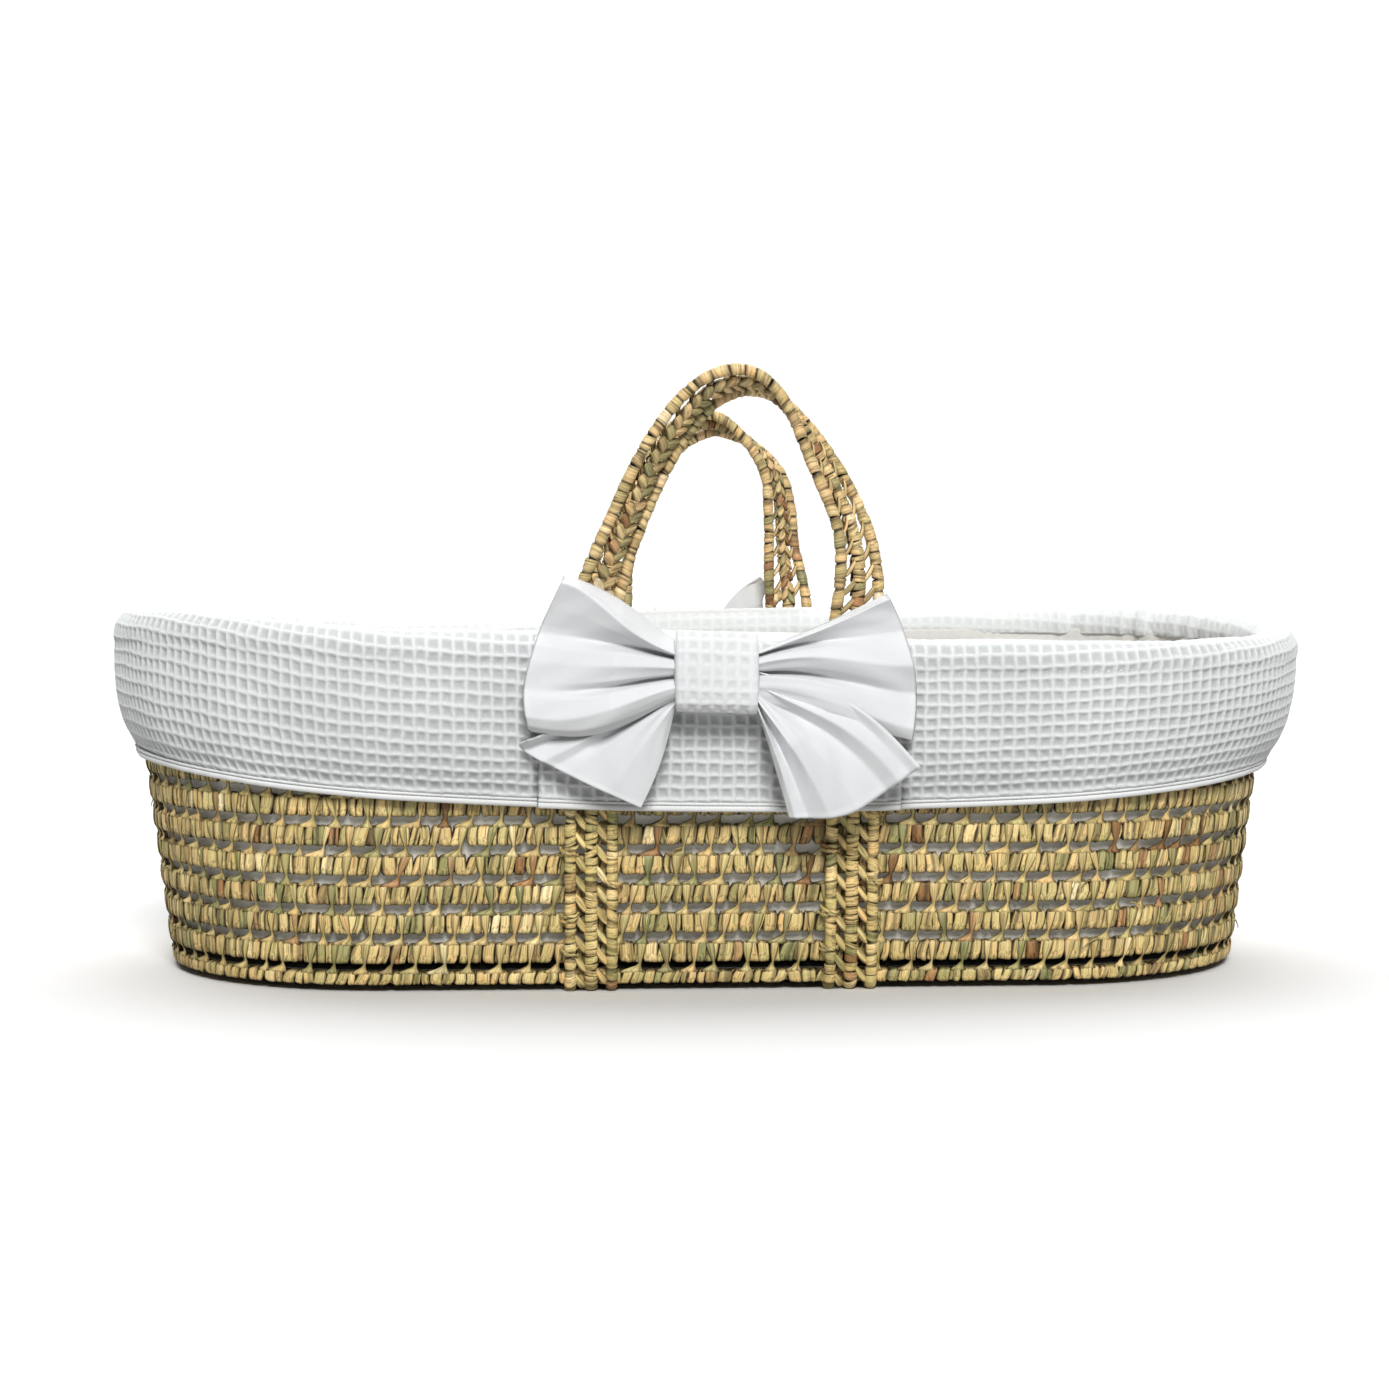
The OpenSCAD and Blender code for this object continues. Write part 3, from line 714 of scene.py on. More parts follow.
def dressing(s, face, over, plane, rng, soft_size):
    """Waffle cloth from the top of the roll to the hem: its place round the basket, its radius and
    height, and how much painted shade darkens each point, most in the waffle's cells"""
    d = np.linspace(0, 1, DRESSING_ROWS)[:, None]
    ref = roll_high.y
    place = oval_or_flat(s, ref, plane)
    x, y, _ = np.moveaxis(on_oval(place, ref, 0.0), -1, 0)
    to_hem = sum(cloth_lengths(x, face, over)) * (1 - d)
    radius, z, angle = cloth_at(x, to_hem, face)
    hung = np.sin(math.pi * np.clip((d - 0.2) / 0.8, 0, 1))
    soft = ripple(s, rng, (0.21, 0.13, 0.08), soft_size) * hung
    gather = ripple(s, rng, (0.017, 0.023), 0.5 * MM) * smooth_step(0.8, 1.0, d)
    bound = 1 - smooth_step(HEM_WIDE - 1 * MM, HEM_WIDE + 1 * MM, to_hem)
    fade = (1 - bound) * (0.3 + 0.7 * np.cos(np.clip(angle, 0, 1.5)))
    end = 1 - smooth_step(0.0, 0.05, d)
    weave = waffle(s, to_hem)
    relief = WAFFLE_DEPTH * (weave - 0.5) * fade * (1 - end) ** 3
    lift = soft + gather + relief + 0.7 * MM - 2.2 * MM * end - 1.6 * MM * bound
    facing = np.maximum(angle, 0)
    r = radius + lift * np.cos(facing)
    z = z + lift * np.sin(facing) + saddle(x, y) * smooth_step(0.15, 0.235, z)
    # The last value is painted shade in the waffle's cells, less where the relief fades
    return place, r, z, (1 - weave) * fade


def make_skirt(side, waffle_cotton):
    """The skirt round the right end (side 1) or the left end (side -1)"""
    rng = np.random.default_rng(160 + side)
    ref = roll_high.y
    length = oval_length(ref)
    edge = flap_half - 7 * MM
    s_from, s_to = (edge, length / 2 - edge) if side > 0 else (length / 2 + edge, length - edge)
    s = np.arange(s_from, s_to, WAFFLE_STEP)[None, :]
    place, r, z, hollow = dressing(s, SKIRT_FACE, SKIRT_OVER, False, rng, 1.2 * MM)
    under_flap = smooth_step(10 * MM, 7 * MM, np.minimum(s - s_from, s_to - s))
    points = settled(on_oval(place, r - 2.2 * MM * under_flap, z))
    word = "right" if side > 0 else "left"
    return piece("waffle_skirt_" + word, [Patch(points, edge=hollow)], waffle_cotton,
                 replaces=["skirt_" + word], thickness=2.0 * MM)


# The bound hem's section: distance out from the cloth and height above its lower edge (mm)
HEM_SECTION = [(0.0, -0.6), (1.3, 0.2), (2.0, 1.4), (1.9, 2.9), (1.3, 3.9), (0.0, 4.2), (1.2, 4.6),
               (1.5, 5.4), (1.1, 6.3), (-0.6, 6.5), (-2.2, 6.2), (-2.6, 3), (-2.0, 0)]
STITCH_PITCH = 3.2 * MM


def hem_band(s, face, ref, plane, rng):
    """A bound edge along the hem: a rolled lower part, a stitched groove and a narrow upper part"""
    out, up = np.array(HEM_SECTION).T[..., None] * MM
    place = oval_or_flat(s, ref, plane)
    radius, z, _ = cloth_at(on_oval(place, ref, 0.0)[..., 0], up, face)
    stitch = 0.5 + 0.5 * np.cos(TURN * s / STITCH_PITCH)
    groove = np.abs(up - 4.2 * MM) < 0.1 * MM
    wave = ripple(s, rng, (0.21, 0.13, 0.08), 0.5 * MM) + ripple(s, rng, (0.04, 0.017), 0.25 * MM)
    r = radius + out + wave + 0.5 * MM * groove * stitch
    # Painted shade in the stitched groove, lighter on the stitches
    edge = 1.6 * groove * (1 - 0.5 * stitch)
    return Patch(on_oval(place, r, z)[::-1], round_rows=True, edge=edge[::-1])


def make_hems(binding):
    """The bound hems of the skirts and the flaps"""
    rng = np.random.default_rng(165)
    ref = roll_high.y
    length = oval_length(ref)
    edge = flap_half + 0.5 * MM
    step = 0.8 * MM
    bands = {}
    for word, s_from, s_to, face, cloth, turn in (
        ("right", edge, length / 2 - edge, SKIRT_FACE, "skirt", 1),
        ("left", length / 2 + edge, length - edge, SKIRT_FACE, "skirt", 1),
        ("front", -flap_half, flap_half, FLAP_FACE, "flap", 1),
        ("rear", -flap_half, flap_half, FLAP_FACE, "flap", -1),
    ):
        s = np.arange(s_from, s_to, step)[None, :]
        band = hem_band(s, face, ref, cloth == "flap", rng)
        band.points = band.points * np.array([turn, turn, 1])
        bands[word] = piece("bound_hem_" + word, [band], binding,
                            replaces=["%s_hem_%s" % (cloth, word)])
    return bands


def make_flap(word, turn, waffle_cotton):
    """The flap under the front bow (turn 1) or under the rear one (turn -1)"""
    rng = np.random.default_rng(168)
    s = np.arange(-flap_half, flap_half, WAFFLE_STEP)[None, :]
    place, r, z, hollow = dressing(s, FLAP_FACE, FLAP_OVER, True, rng, 0.5 * MM)
    side = (np.abs(s) / flap_half) ** 50
    points = on_oval(place, r - 1.3 * MM * side, z) * np.array([turn, turn, 1])
    return piece("waffle_flap_" + word, [Patch(points, edge=hollow)], waffle_cotton,
                 replaces=["flap_" + word], thickness=2.0 * MM)


def roll_limit(x, y):
    """How far out the roll may reach, less where the flaps and the straps pass outside it"""
    middle = np.abs(x) < half_straight
    flap_limit = roll_high.y - 6.2 * MM
    strap_limit = roll_high.y - 17.4 * MM
    unlimited = 1.0
    limit = np.full_like(x, unlimited)
    behind_flap = smooth_step(flap_half + 4 * MM, flap_half + 1 * MM, np.abs(x)) * middle
    limit = limit + (flap_limit - limit) * behind_flap
    limit = np.where(behind_flap > 0.001, np.minimum(limit, roll_high.y + 1 * MM), limit)
    for node in WALL_STRAPS:
        low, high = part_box(node)
        same_side = (y > 0) == (low.y > 0)
        gap = np.abs(x - (low.x + high.x) / 2)
        near = smooth_step(27 * MM, 22.5 * MM, gap) * same_side * middle
        limit = np.minimum(limit, flap_limit + (strap_limit - flap_limit) * near + (near <= 0) * unlimited)
    return limit


def make_roll(waffle_cotton):
    """The padded roll over the rim"""
    rng = np.random.default_rng(170)
    ref = roll_high.y
    length = oval_length(ref)
    count = int(length / WAFFLE_STEP)
    s = (np.arange(count) * length / count)[None, :]
    angle = np.linspace(low_angle, math.pi - low_angle, 46)[:, None]
    place = oval(s, ref)
    x, y, _ = np.moveaxis(on_oval(place, ref, 0.0), -1, 0)
    hung, _ = cloth_lengths(x, SKIRT_FACE, SKIRT_OVER)
    weave = waffle(s, hung + (angle - low_angle) * ROLL_RADIUS)
    inner = smooth_step(1.5, 2.1, angle)
    fade = (0.4 + 0.6 * np.abs(np.cos(angle))) * smooth_step(SKIRT_OVER - 0.3, SKIRT_OVER, angle)
    fade = fade * (1 - 0.7 * inner)
    # Painted shade in the waffle's cells, less where the relief fades
    hollow = (1 - weave) * fade
    weave = WAFFLE_DEPTH * (weave - 0.5) * fade
    gather = ripple(s, rng, (0.019, 0.027, 0.041), 1.6 * MM) * inner * smooth_step(0.24, 0.33, np.abs(x))
    puff = ripple(s, rng, (0.16, 0.09), 0.6 * MM)
    size = ROLL_RADIUS - 0.4 * MM + weave + gather + puff * np.sin(angle) ** 2
    r = np.minimum(roll_centre + size * np.cos(angle), roll_limit(x, y))
    z = roll_z + size * np.sin(angle) + saddle(x, y)
    under = np.linspace(0.2, 0.8, 3)[:, None]
    r_under = r[-1:] + (r[:1] - r[-1:]) * under
    z_under = z[-1:] + (z[:1] - z[-1:]) * under + 1 * MM
    r = np.concatenate([r, r_under])
    z = np.concatenate([z, z_under])
    hollow = np.concatenate([hollow, 0 * r_under])
    points = settled(on_oval(place, r, z))
    cover = Patch(points[::-1], round_rows=True, round_cols=True, edge=hollow[::-1])
    roll = piece("rim_roll", [cover], waffle_cotton, replaces=["rim_bumper"])
    return roll


# Which side of the basket each slit is on, and its two ends along X
SLITS = {"front": (-1, -112 * MM, 112 * MM), "rear": (1, -98 * MM, 100 * MM)}


def make_slit_bindings(binding):
    """The bound edge of the inner panel, where the handles come out"""
    rng = np.random.default_rng(172)
    for word, (side, x_from, x_to) in SLITS.items():
        x = np.linspace(x_from, x_to, 240)[None, :]
        angle = np.linspace(0, TURN, 12, endpoint=False)[:, None]
        ends = np.sqrt(np.clip(1 - (2 * (x - x_from) / (x_to - x_from) - 1) ** 16, 0.02, 1))
        size = (1.75 * MM + ripple(x, rng, (0.02, 0.011), 0.12 * MM)) * ends
        y = side * (roll_high.y - 18.3 * MM + size * np.cos(angle))
        z = roll_high.z - 0.6 * MM + 1.25 * size * np.sin(angle) + saddle(x, side * 0.2)
        points = np.stack([x + 0 * angle, y, z], -1)
        piece("slit_edge_" + word, [Patch(points, round_rows=True)], binding,
              replaces=["slit_binding_" + word])


LINING_FOOT = 14.8 * MM


def make_lining_wall(lining):
    """The cloth up the inside of the wall, gathered at the ends and tucked into the roll"""
    rng = np.random.default_rng(175)
    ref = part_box("liner_wall")[1].y
    step = WAFFLE_PITCH / 4
    length = oval_length(ref)
    count = int(length / step)
    s = (np.arange(count) * length / count)[None, :]
    top = roll_z - 1 * MM
    z = np.concatenate([np.linspace(LINING_FOOT, 50 * MM, 9), np.arange(52 * MM, top, step)])[:, None]
    place = oval(s, ref)
    x, y, _ = np.moveaxis(on_oval(place, ref, 0.0), -1, 0)
    ends = smooth_step(0.24, 0.36, np.abs(x))
    rise = smooth_step(0.04, 0.2, z)
    slanted = s + 0.35 * (z - 0.2) * np.sign(x)
    gather = ripple(slanted, rng, (0.021, 0.034, 0.052), 2.6 * MM) * ends * rise
    soft = ripple(slanted, rng, (0.19, 0.11, 0.05), 1.0 * MM)
    weave = waffle(s, z)
    r = wall_radius(z) - 9.0 * MM + np.minimum(gather + soft, 0.9 * MM) - 0.35 * MM * (weave - 0.5)
    into_roll = smooth_step(0.15, top - 6 * MM, z)
    tuck = 3.5 * MM * smooth_step(0.2, 0.27, np.abs(x)) * smooth_step(0.208, 0.219, z)
    r = r + (roll_centre - ROLL_RADIUS - wall_radius(z) + 8.2 * MM) * into_roll + tuck
    height = z + saddle(x, y) * smooth_step(0.15, 0.23, z)
    # Faint painted shade in the hollows of its weave
    cloth = Patch(settled(on_oval(place, r, height)), round_cols=True, edge=0.1 * (1 - weave))
    # A band round the outside of its foot painted black: painted shadow, for the shade between the base
    # and the wall that shows behind the lowest gap
    low_z = np.linspace(LINING_FOOT, 31 * MM, 4)[:, None]
    foot_shadow = Patch(on_oval(place, wall_radius(low_z) - 7.7 * MM, low_z), round_cols=True, edge=BLACK_EDGE)
    return piece("lining_wall", [cloth, foot_shadow], lining, replaces=["liner_wall"],
                 thickness=1.2 * MM)


def make_lining_floor(lining):
    """The cloth over the base, a little uneven"""
    low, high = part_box("liner_floor")
    rings = np.linspace(0.002, high.y + 1.5 * MM, 30)[:, None]
    count = 320
    s = (np.arange(count) * oval_length(high.y) / count)[None, :]
    level = (low.z + high.z) / 2 + 0.25 * MM * np.sin(rings * 190) * np.cos(s * 21)
    cloth = Patch(on_oval(oval(s, high.y), rings, level)[::-1], round_cols=True)
    return piece("lining_floor", [cloth], lining, replaces=["liner_floor"],
                 thickness=0.8 * MM)


# Mattress ----------------------------------------------------------------------------

MATTRESS_MARGIN = 3.5 * MM
MATTRESS_CORNER = 8 * MM
SWELL_CAP = 7 * MM


def mattress_shape(low, high):
    """A flat oval slab with rounded edges, with room left for it to swell"""
    edge = high.y - MATTRESS_MARGIN
    bottom = low.z + 1 * MM
    top = high.z - MATTRESS_MARGIN
    inner = edge - MATTRESS_CORNER
    bend = np.linspace(0, math.pi / 2, 6)
    sine, cosine = MATTRESS_CORNER * np.sin(bend), MATTRESS_CORNER * np.cos(bend)
    section = [(r, top) for r in np.linspace(0.001, inner, 24)]
    section += list(zip(inner + sine, top - MATTRESS_CORNER + cosine))
    section += list(zip(inner + cosine, bottom + MATTRESS_CORNER - sine))
    section += [(r, bottom) for r in np.linspace(inner, 0.001, 12)]
    r, z = np.array(section).T[..., None]
    angle = np.linspace(0, TURN, 200, endpoint=False)[None, :]
    stretch = np.clip(np.cos(angle) * 4, -1, 1) * (high.x - high.y)
    return np.stack([stretch + r * np.cos(angle), r * np.sin(angle), z + 0 * angle], -1)


def vertex_places(mesh):
    places = np.zeros(len(mesh.vertices) * 3, np.float32)
    mesh.vertices.foreach_get("co", places)
    return places.reshape(-1, 3)


def make_mattress(cover):
    """A padded mattress with piping round its two edges"""
    low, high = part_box("mattress")
    made = piece("soft_mattress", [Patch(mattress_shape(low, high), round_cols=True)], cover,
                 body=None, replaces=["mattress"])
    bpy.context.view_layer.objects.active = made
    made.select_set(True)
    remesh = made.modifiers.new("remesh", "REMESH")
    remesh.mode = "VOXEL"
    remesh.voxel_size = 6 * MM
    bpy.ops.object.modifier_apply(modifier=remesh.name)
    rest = vertex_places(made.data)
    inflate(made)
    shift = vertex_places(made.data) - rest
    size = np.linalg.norm(shift, axis=1)[:, None]
    soft = rest + shift * np.minimum(1, SWELL_CAP / np.maximum(size, 1e-9))
    soft[:, 2] = np.clip(soft[:, 2], low.z + 0.2 * MM, None)
    made.data.vertices.foreach_set("co", soft.astype(np.float32).ravel())
    made.data.update()
    subdivide = made.modifiers.new("smooth", "SUBSURF")
    subdivide.levels = 1
    subdivide.render_levels = 1
    made.data.polygons.foreach_set("use_smooth", np.ones(len(made.data.polygons), bool))
    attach(made, "mattress")
    surface = BVHTree.FromPolygons(soft.tolist(), [tuple(face.vertices) for face in made.data.polygons])
    seams = [piping(surface, high.y - MATTRESS_MARGIN, high.x - high.y, height)
             for height in (low.z + 7 * MM, high.z - 7 * MM)]
    piece("mattress_piping", seams, cover, body="mattress")


def piping(surface, reach, half, height):
    """A thin cord sewn round the mattress, on its soft surface near the given height"""
    turn = np.linspace(0, TURN, 400, endpoint=False)
    out = np.stack([np.cos(turn), np.sin(turn), 0 * turn], -1)
    middle = np.stack([np.clip(np.cos(turn) * 4, -1, 1) * half, 0 * turn, height + 0 * turn], -1)
    line = np.array([surface.find_nearest(Vector(point))[0] for point in middle + reach * out])
    shifts = range(-6, 7)
    line = sum(np.roll(line, shift, axis=0) for shift in shifts) / len(shifts)
    ring = np.linspace(0, TURN, 8, endpoint=False)[:, None, None]
    up = np.array([0, 0, 1])
    points = line + 0.4 * MM * out + 1.3 * MM * (np.cos(ring) * out + np.sin(ring) * up)
    return Patch(points, round_rows=True, round_cols=True)


def inflate(made):
    """Swells the mattress with Blender's cloth and applies the result"""
    cloth = made.modifiers.new("cloth", "CLOTH")
    cloth.settings.use_pressure = True
    cloth.settings.uniform_pressure_force = 4
    cloth.settings.effector_weights.gravity = 0
    cloth.point_cache.frame_start = 1
    cloth.point_cache.frame_end = 20
    for number in range(1, 21):
        bpy.context.scene.frame_set(number)
    bpy.ops.object.modifier_apply(modifier=cloth.name)


# Bows --------------------------------------------------------------------------------

def fan(inner, outer, folds, near, puff, size, rng, arch=((0, 0), (0, 0)), back=None):
    """A cloth fan gathered at the knot. inner and outer are lines in X and Z (mm) from the
    bottom up, and folds lists each fold's place from the bottom up and its height (mm), at the
    knot and at the outer edge, which size scales. near, at the knot, the middle and the outer
    edge, is how far out the cloth lies (mm), puff is how far it swells (mm), arch is how far the
    bottom and top edges bulge, and back is near for the sheet behind, if the fan is a loop."""
    v = np.linspace(0, 1, 140)
    lines = [smooth_line(np.array(line) * MM, len(v)) for line in (inner, outer)]
    u = np.linspace(0, 1, 60)
    behind = np.zeros((len(u), 1), bool)
    if back is not None:
        u_back = np.linspace(1, 0, 25)[1:]
        u = np.concatenate([u, u_back])
        behind = np.concatenate([behind, np.ones((len(u_back), 1), bool)])
    place_in, place_out, height_in, height_out = np.array(folds, float).T
    fold = np.zeros((len(u), len(v)))
    for row, share in enumerate(u):
        spread = smooth_step(0.0, 1.0, share)
        height = height_in + (height_out - height_in) * smooth_step(0.15, 0.95, share)
        fold[row] = np.interp(v, place_in + (place_out - place_in) * spread, height)
    kernel = np.array([1, 3, 5, 3, 1]) / 13
    fold = np.stack([np.convolve(np.pad(line, 2, mode="edge"), kernel, mode="valid") for line in fold])
    u = u[:, None]
    bottom, top = (np.array(edge) * MM for edge in arch)
    flat = lines[0] + (lines[1] - lines[0]) * u[..., None]
    flat = flat + (bottom + (top - bottom) * v[:, None]) * np.sin(math.pi * u ** 1.15)[..., None]
    grip = (0.65 + 0.35 * smooth_step(0, 0.2, u)) * size
    out = np.interp(u, [0, 0.45, 1], np.array(near) * MM) + fold * MM * grip
    out = out + puff * MM * np.sin(math.pi * u) * np.sin(math.pi * v) ** 0.7
    wrinkle = ripple(v + 0.25 * u ** 2, rng, (0.13, 0.21, 0.31), 0.5 * MM) * np.sin(math.pi * np.sqrt(u))
    wrinkle = wrinkle + ripple(u * 0.7 + v, rng, (0.37, 0.23), 0.8 * MM) * u
    out = out + wrinkle + 0.6 * MM * smooth_step(0.96, 0.985, u)
    if back is not None:
        rear = np.interp(u, [0, 0.45, 1], np.array(back) * MM) + fold * MM * grip * smooth_step(0.6, 1, u)
        out = np.where(behind, rear + wrinkle * smooth_step(0.8, 1, u), out)
    points = np.stack([flat[..., 0], -out, flat[..., 1]], -1)
    if lines[1][0, 0] < lines[0][0, 0]:
        points = points[:, ::-1]
    return points


def make_bow(word, shapes, cotton, waffle_cotton, seed):
    """The front or the rear bow, whose shapes are given as seen from in front of the basket"""
    rng = np.random.default_rng(seed)
    at_rear = word == "rear"
    mirror = np.array([1, -1, 1]) if at_rear else np.array([1, 1, 1])
    made = []
    for part in ("wings", "tails"):
        sheets = [fan(rng=rng, **sheet) * mirror for sheet in shapes[part]]
        patches = [Patch(points[:, ::-1] if at_rear else points) for points in sheets]
        made.append(piece("bow_%s_of_cloth_%s" % (part, word), patches, cotton,
                          replaces=["bow_%s_%s" % (part, word)], thickness=0.7 * MM))
    points, hollow = knot_band(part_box("bow_knot_" + word), *shapes["knot"])
    points = points * mirror
    if at_rear:
        points = points[:, ::-1]
        hollow = hollow[:, ::-1]
    # The band gets less painted shade in its waffle cells than the skirts do
    band = Patch(points, round_rows=True, edge=0.4 * hollow)
    made.append(piece("bow_band_" + word, [band], waffle_cotton,
                      replaces=["bow_knot_" + word], thickness=1.2 * MM))
    return made


def knot_band(box, x_from, x_to):
    """The waffle band round the gathered cloth, and how much painted shade darkens each place in it, in
    the waffle's cells
    """
    low, high = box
    wide = x_to - x_from
    s = np.linspace(0, wide, 49)[None, :]
    angle = np.linspace(0, TURN, 120, endpoint=False)[:, None]
    cosine, sine = np.cos(angle), np.sin(angle)
    half_out = 11.2 * MM
    half_up = (high.z - low.z) / 2 - 0.6 * MM
    side = np.abs(2 * s / wide - 1)
    # The band's two ends close in on the gathered cloth
    grip = 1 - 0.7 * (side > 0.99)
    out = half_out * np.sign(cosine) * np.abs(cosine) ** 0.75
    up = half_up * np.sign(sine) * np.abs(sine) ** 0.7
    steps = np.linalg.norm(np.diff(np.concatenate([out, up], axis=1), axis=0), axis=1)
    d = np.concatenate([[0], np.cumsum(steps)])[:, None] + 4 * MM
    hollow = (1 - waffle(s + 2 * MM, d)) * (1 - side ** 10)
    weave = -1.1 * MM * hollow
    face = max(abs(low.y), abs(high.y)) - half_out + out * (1 - 0.10 * side ** 8) * grip + weave * cosine
    slant = 2.1 * MM * (s / wide - 0.5)
    height = (low.z + high.z) / 2 + up * grip + weave * sine - slant
    return np.stack([x_from + s + 0 * angle, -face, height], -1), hollow


# Folds of the cloth: place at the knot, place at the outer edge, height at the knot, height at
# the outer edge
LEFT_WING = [(0, 0, -4, -2), (0.1, 0.06, 2, 2.5), (0.26, 0.14, 6, 4.5), (0.37, 0.28, 2, 2),
             (0.405, 0.33, -7, 0.5), (0.44, 0.38, 1, 0.5), (0.55, 0.5, 5, 0.5), (0.66, 0.59, 3, -1),
             (0.695, 0.66, -8, -5), (0.715, 0.7, -3, -4), (0.73, 0.8, 2, 1), (0.75, 0.96, 6, 7),
             (0.8, 0.975, 2, 1), (1, 1, -9, -6)]
RIGHT_WING = [(0, 0, -3, -1), (0.3, 0.1, 3, 2), (0.48, 0.22, 3, -1), (0.52, 0.3, -7, -3),
              (0.58, 0.36, 2, 0), (0.72, 0.46, 6, 4.5), (0.82, 0.58, 3, 1), (0.87, 0.66, -5, -2.5),
              (0.9, 0.75, 0, -1), (0.94, 0.95, 5, 5), (0.965, 0.965, -1, 0), (1, 1, -5, -2)]
LEFT_TAIL = [(0, 0, 0, 2), (0.25, 0.2, 5, 5.5), (0.45, 0.4, 4, 3), (0.5, 0.46, -3, 0.5),
             (0.58, 0.52, 3, 3), (0.75, 0.64, -8, -5), (0.88, 0.76, 0, 1), (0.95, 0.88, 3, 3.5),
             (1, 1, -2, 0)]
RIGHT_TAIL = [(0, 0, -2, 0), (0.1, 0.08, 4, 3.5), (0.2, 0.2, -7, -1), (0.32, 0.36, 5, 5),
              (0.5, 0.56, 4, 4), (0.6, 0.74, -8, -3), (0.7, 0.82, 4, 2.5), (0.85, 0.9, -7, 0.5),
              (0.95, 0.97, 2, 3), (1, 1, 1, 2)]
WING_NEAR = [220, 224, 212]
WING_BACK = [213, 208.5, 212]
FRONT_BOW = {
    "wings": [
        dict(inner=[(-29, 202), (-28, 220), (-29, 238)],
             outer=[(-129, 181), (-131.5, 209), (-121, 246), (-105, 282)],
             folds=LEFT_WING, near=WING_NEAR, puff=2.5, size=1.35, arch=((0, -12), (-2, 8)),
             back=WING_BACK),
        dict(inner=[(20, 200), (19, 217), (21, 232)],
             outer=[(126.5, 173), (129, 208), (120, 247), (109, 270)],
             folds=RIGHT_WING, near=WING_NEAR, puff=2, size=1.25, arch=((0, 0), (0, -1)),
             back=WING_BACK),
    ],
    "tails": [
        dict(inner=[(-31, 197), (-29, 204), (-28, 210)],
             outer=[(-54, 129), (-95, 148), (-133, 168.5), (-124, 176)],
             folds=LEFT_TAIL, near=[214, 211, 208.5], puff=2, size=1.0, arch=((3, 0), (0, 0))),
        dict(inner=[(22, 197), (21, 206), (20, 221)],
             outer=[(44, 122.5), (84, 125.5), (131, 156)],
             folds=RIGHT_TAIL, near=[219, 224, 217], puff=3, size=0.9, arch=((0, 0), (3, 14))),
    ],
    "knot": (-31.5 * MM, 22.5 * MM),
}
REAR_BOW = {
    "wings": [
        dict(inner=[(-26, 202), (-25, 220), (-26, 236)],
             outer=[(-126, 176), (-128, 208), (-114, 236), (-88, 252)],
             folds=RIGHT_WING, near=WING_NEAR, puff=2, size=1.0, back=WING_BACK),
        dict(inner=[(26, 202), (25, 220), (23, 238)],
             outer=[(127, 178), (128, 206), (92, 232), (64, 238), (58, 250), (62, 262), (56, 270)],
             folds=RIGHT_WING, near=[220, 214, 212], puff=3, size=0.25, arch=((0, 0), (-3, 2)),
             back=[216, 212, 212]),
    ],
    "tails": [
        dict(inner=[(side * 25, 197), (side * 24, 204), (side * 23, 211)],
             outer=[(side * 48, 128), (side * 88, 138), (side * 128, 166)],
             folds=LEFT_TAIL, near=[214, 211, 208.5], puff=2, size=1.0)
        for side in (-1, 1)
    ],
    "knot": (-27 * MM, 27 * MM),
}


# Materials ---------------------------------------------------------------------------

class Shader:
    """A material being wired up, with short calls for the nodes it needs"""

    def __init__(self, name, roughness):
        self.material = bpy.data.materials.new(name)
        self.material.use_nodes = True
        self.tree = self.material.node_tree
        self.surface = self.tree.nodes["Principled BSDF"]
        self.surface.inputs["Roughness"].default_value = roughness

    def node(self, kind, inputs=None, **settings):
        made = self.tree.nodes.new("ShaderNode" + kind)
        for key, value in settings.items():
            setattr(made, key, value)
        for key, value in (inputs or {}).items():
            self.put(value, made.inputs[key])
        return made

    def put(self, value, socket):
        """Sets a socket to a value, or links it if the value comes from another node"""
        if isinstance(value, bpy.types.NodeSocket):
            self.tree.links.new(value, socket)
        else:
            socket.default_value = value

    def layer(self, name, output="Fac"):
        return self.node("Attribute", attribute_name=name).outputs[output]

    def noise(self, vector, stretch, detail=3.0, roughness=0.55):
        placed = self.node("Mapping", {"Vector": vector, "Scale": stretch})
        return self.node("TexNoise", {"Vector": placed.outputs[0], "Scale": 1.0, "Detail": detail,
                                      "Roughness": roughness}).outputs["Fac"]

    def ramp(self, value, stops):
        made = self.node("ValToRGB", {"Fac": value})
        elements = made.color_ramp.elements
        while len(elements) < len(stops):
            elements.new(0.5)
        for element, (place, colour) in zip(elements, stops):
            element.position = place
            element.color = (*colour, 1)
        return made.outputs["Color"]

    def mix(self, kind, share, first, second):
        made = self.node("Mix", data_type="RGBA", blend_type=kind)
        # Sockets 0, 6 and 7 are the share and the two colours, and output 2 is the mixed colour
        for number, value in ((0, share), (6, first), (7, second)):
            self.put(value, made.inputs[number])
        return made.outputs[2]

    def grey(self, level):
        return self.node("CombineColor", {key: level for key in ("Red", "Green", "Blue")}).outputs[0]

    def let_light_through(self, colour, share):
        """Makes the cloth thin enough that light on one side shows on the other"""
        thin = self.node("BsdfTranslucent", {"Color": colour})
        both = self.node("MixShader", {0: share, 1: self.surface.outputs[0], 2: thin.outputs[0]})
        self.tree.links.new(both.outputs[0], self.tree.nodes["Material Output"].inputs["Surface"])

    def finish(self, colour, height, strength):
        """Gives the surface its colour and its fine bumps"""
        self.tree.links.new(colour, self.surface.inputs["Base Color"])
        bump = self.node("Bump", {"Height": height, "Strength": strength, "Distance": BUMP_DEPTH})
        self.tree.links.new(bump.outputs[0], self.surface.inputs["Normal"])
        return self.material


def linear(*rgb):
    """Linear colour of an sRGB colour given from 0 to 255"""
    return tuple(((c / 255 + 0.055) / 1.055) ** 2.4 if c > 10 else c / 255 / 12.92 for c in rgb)


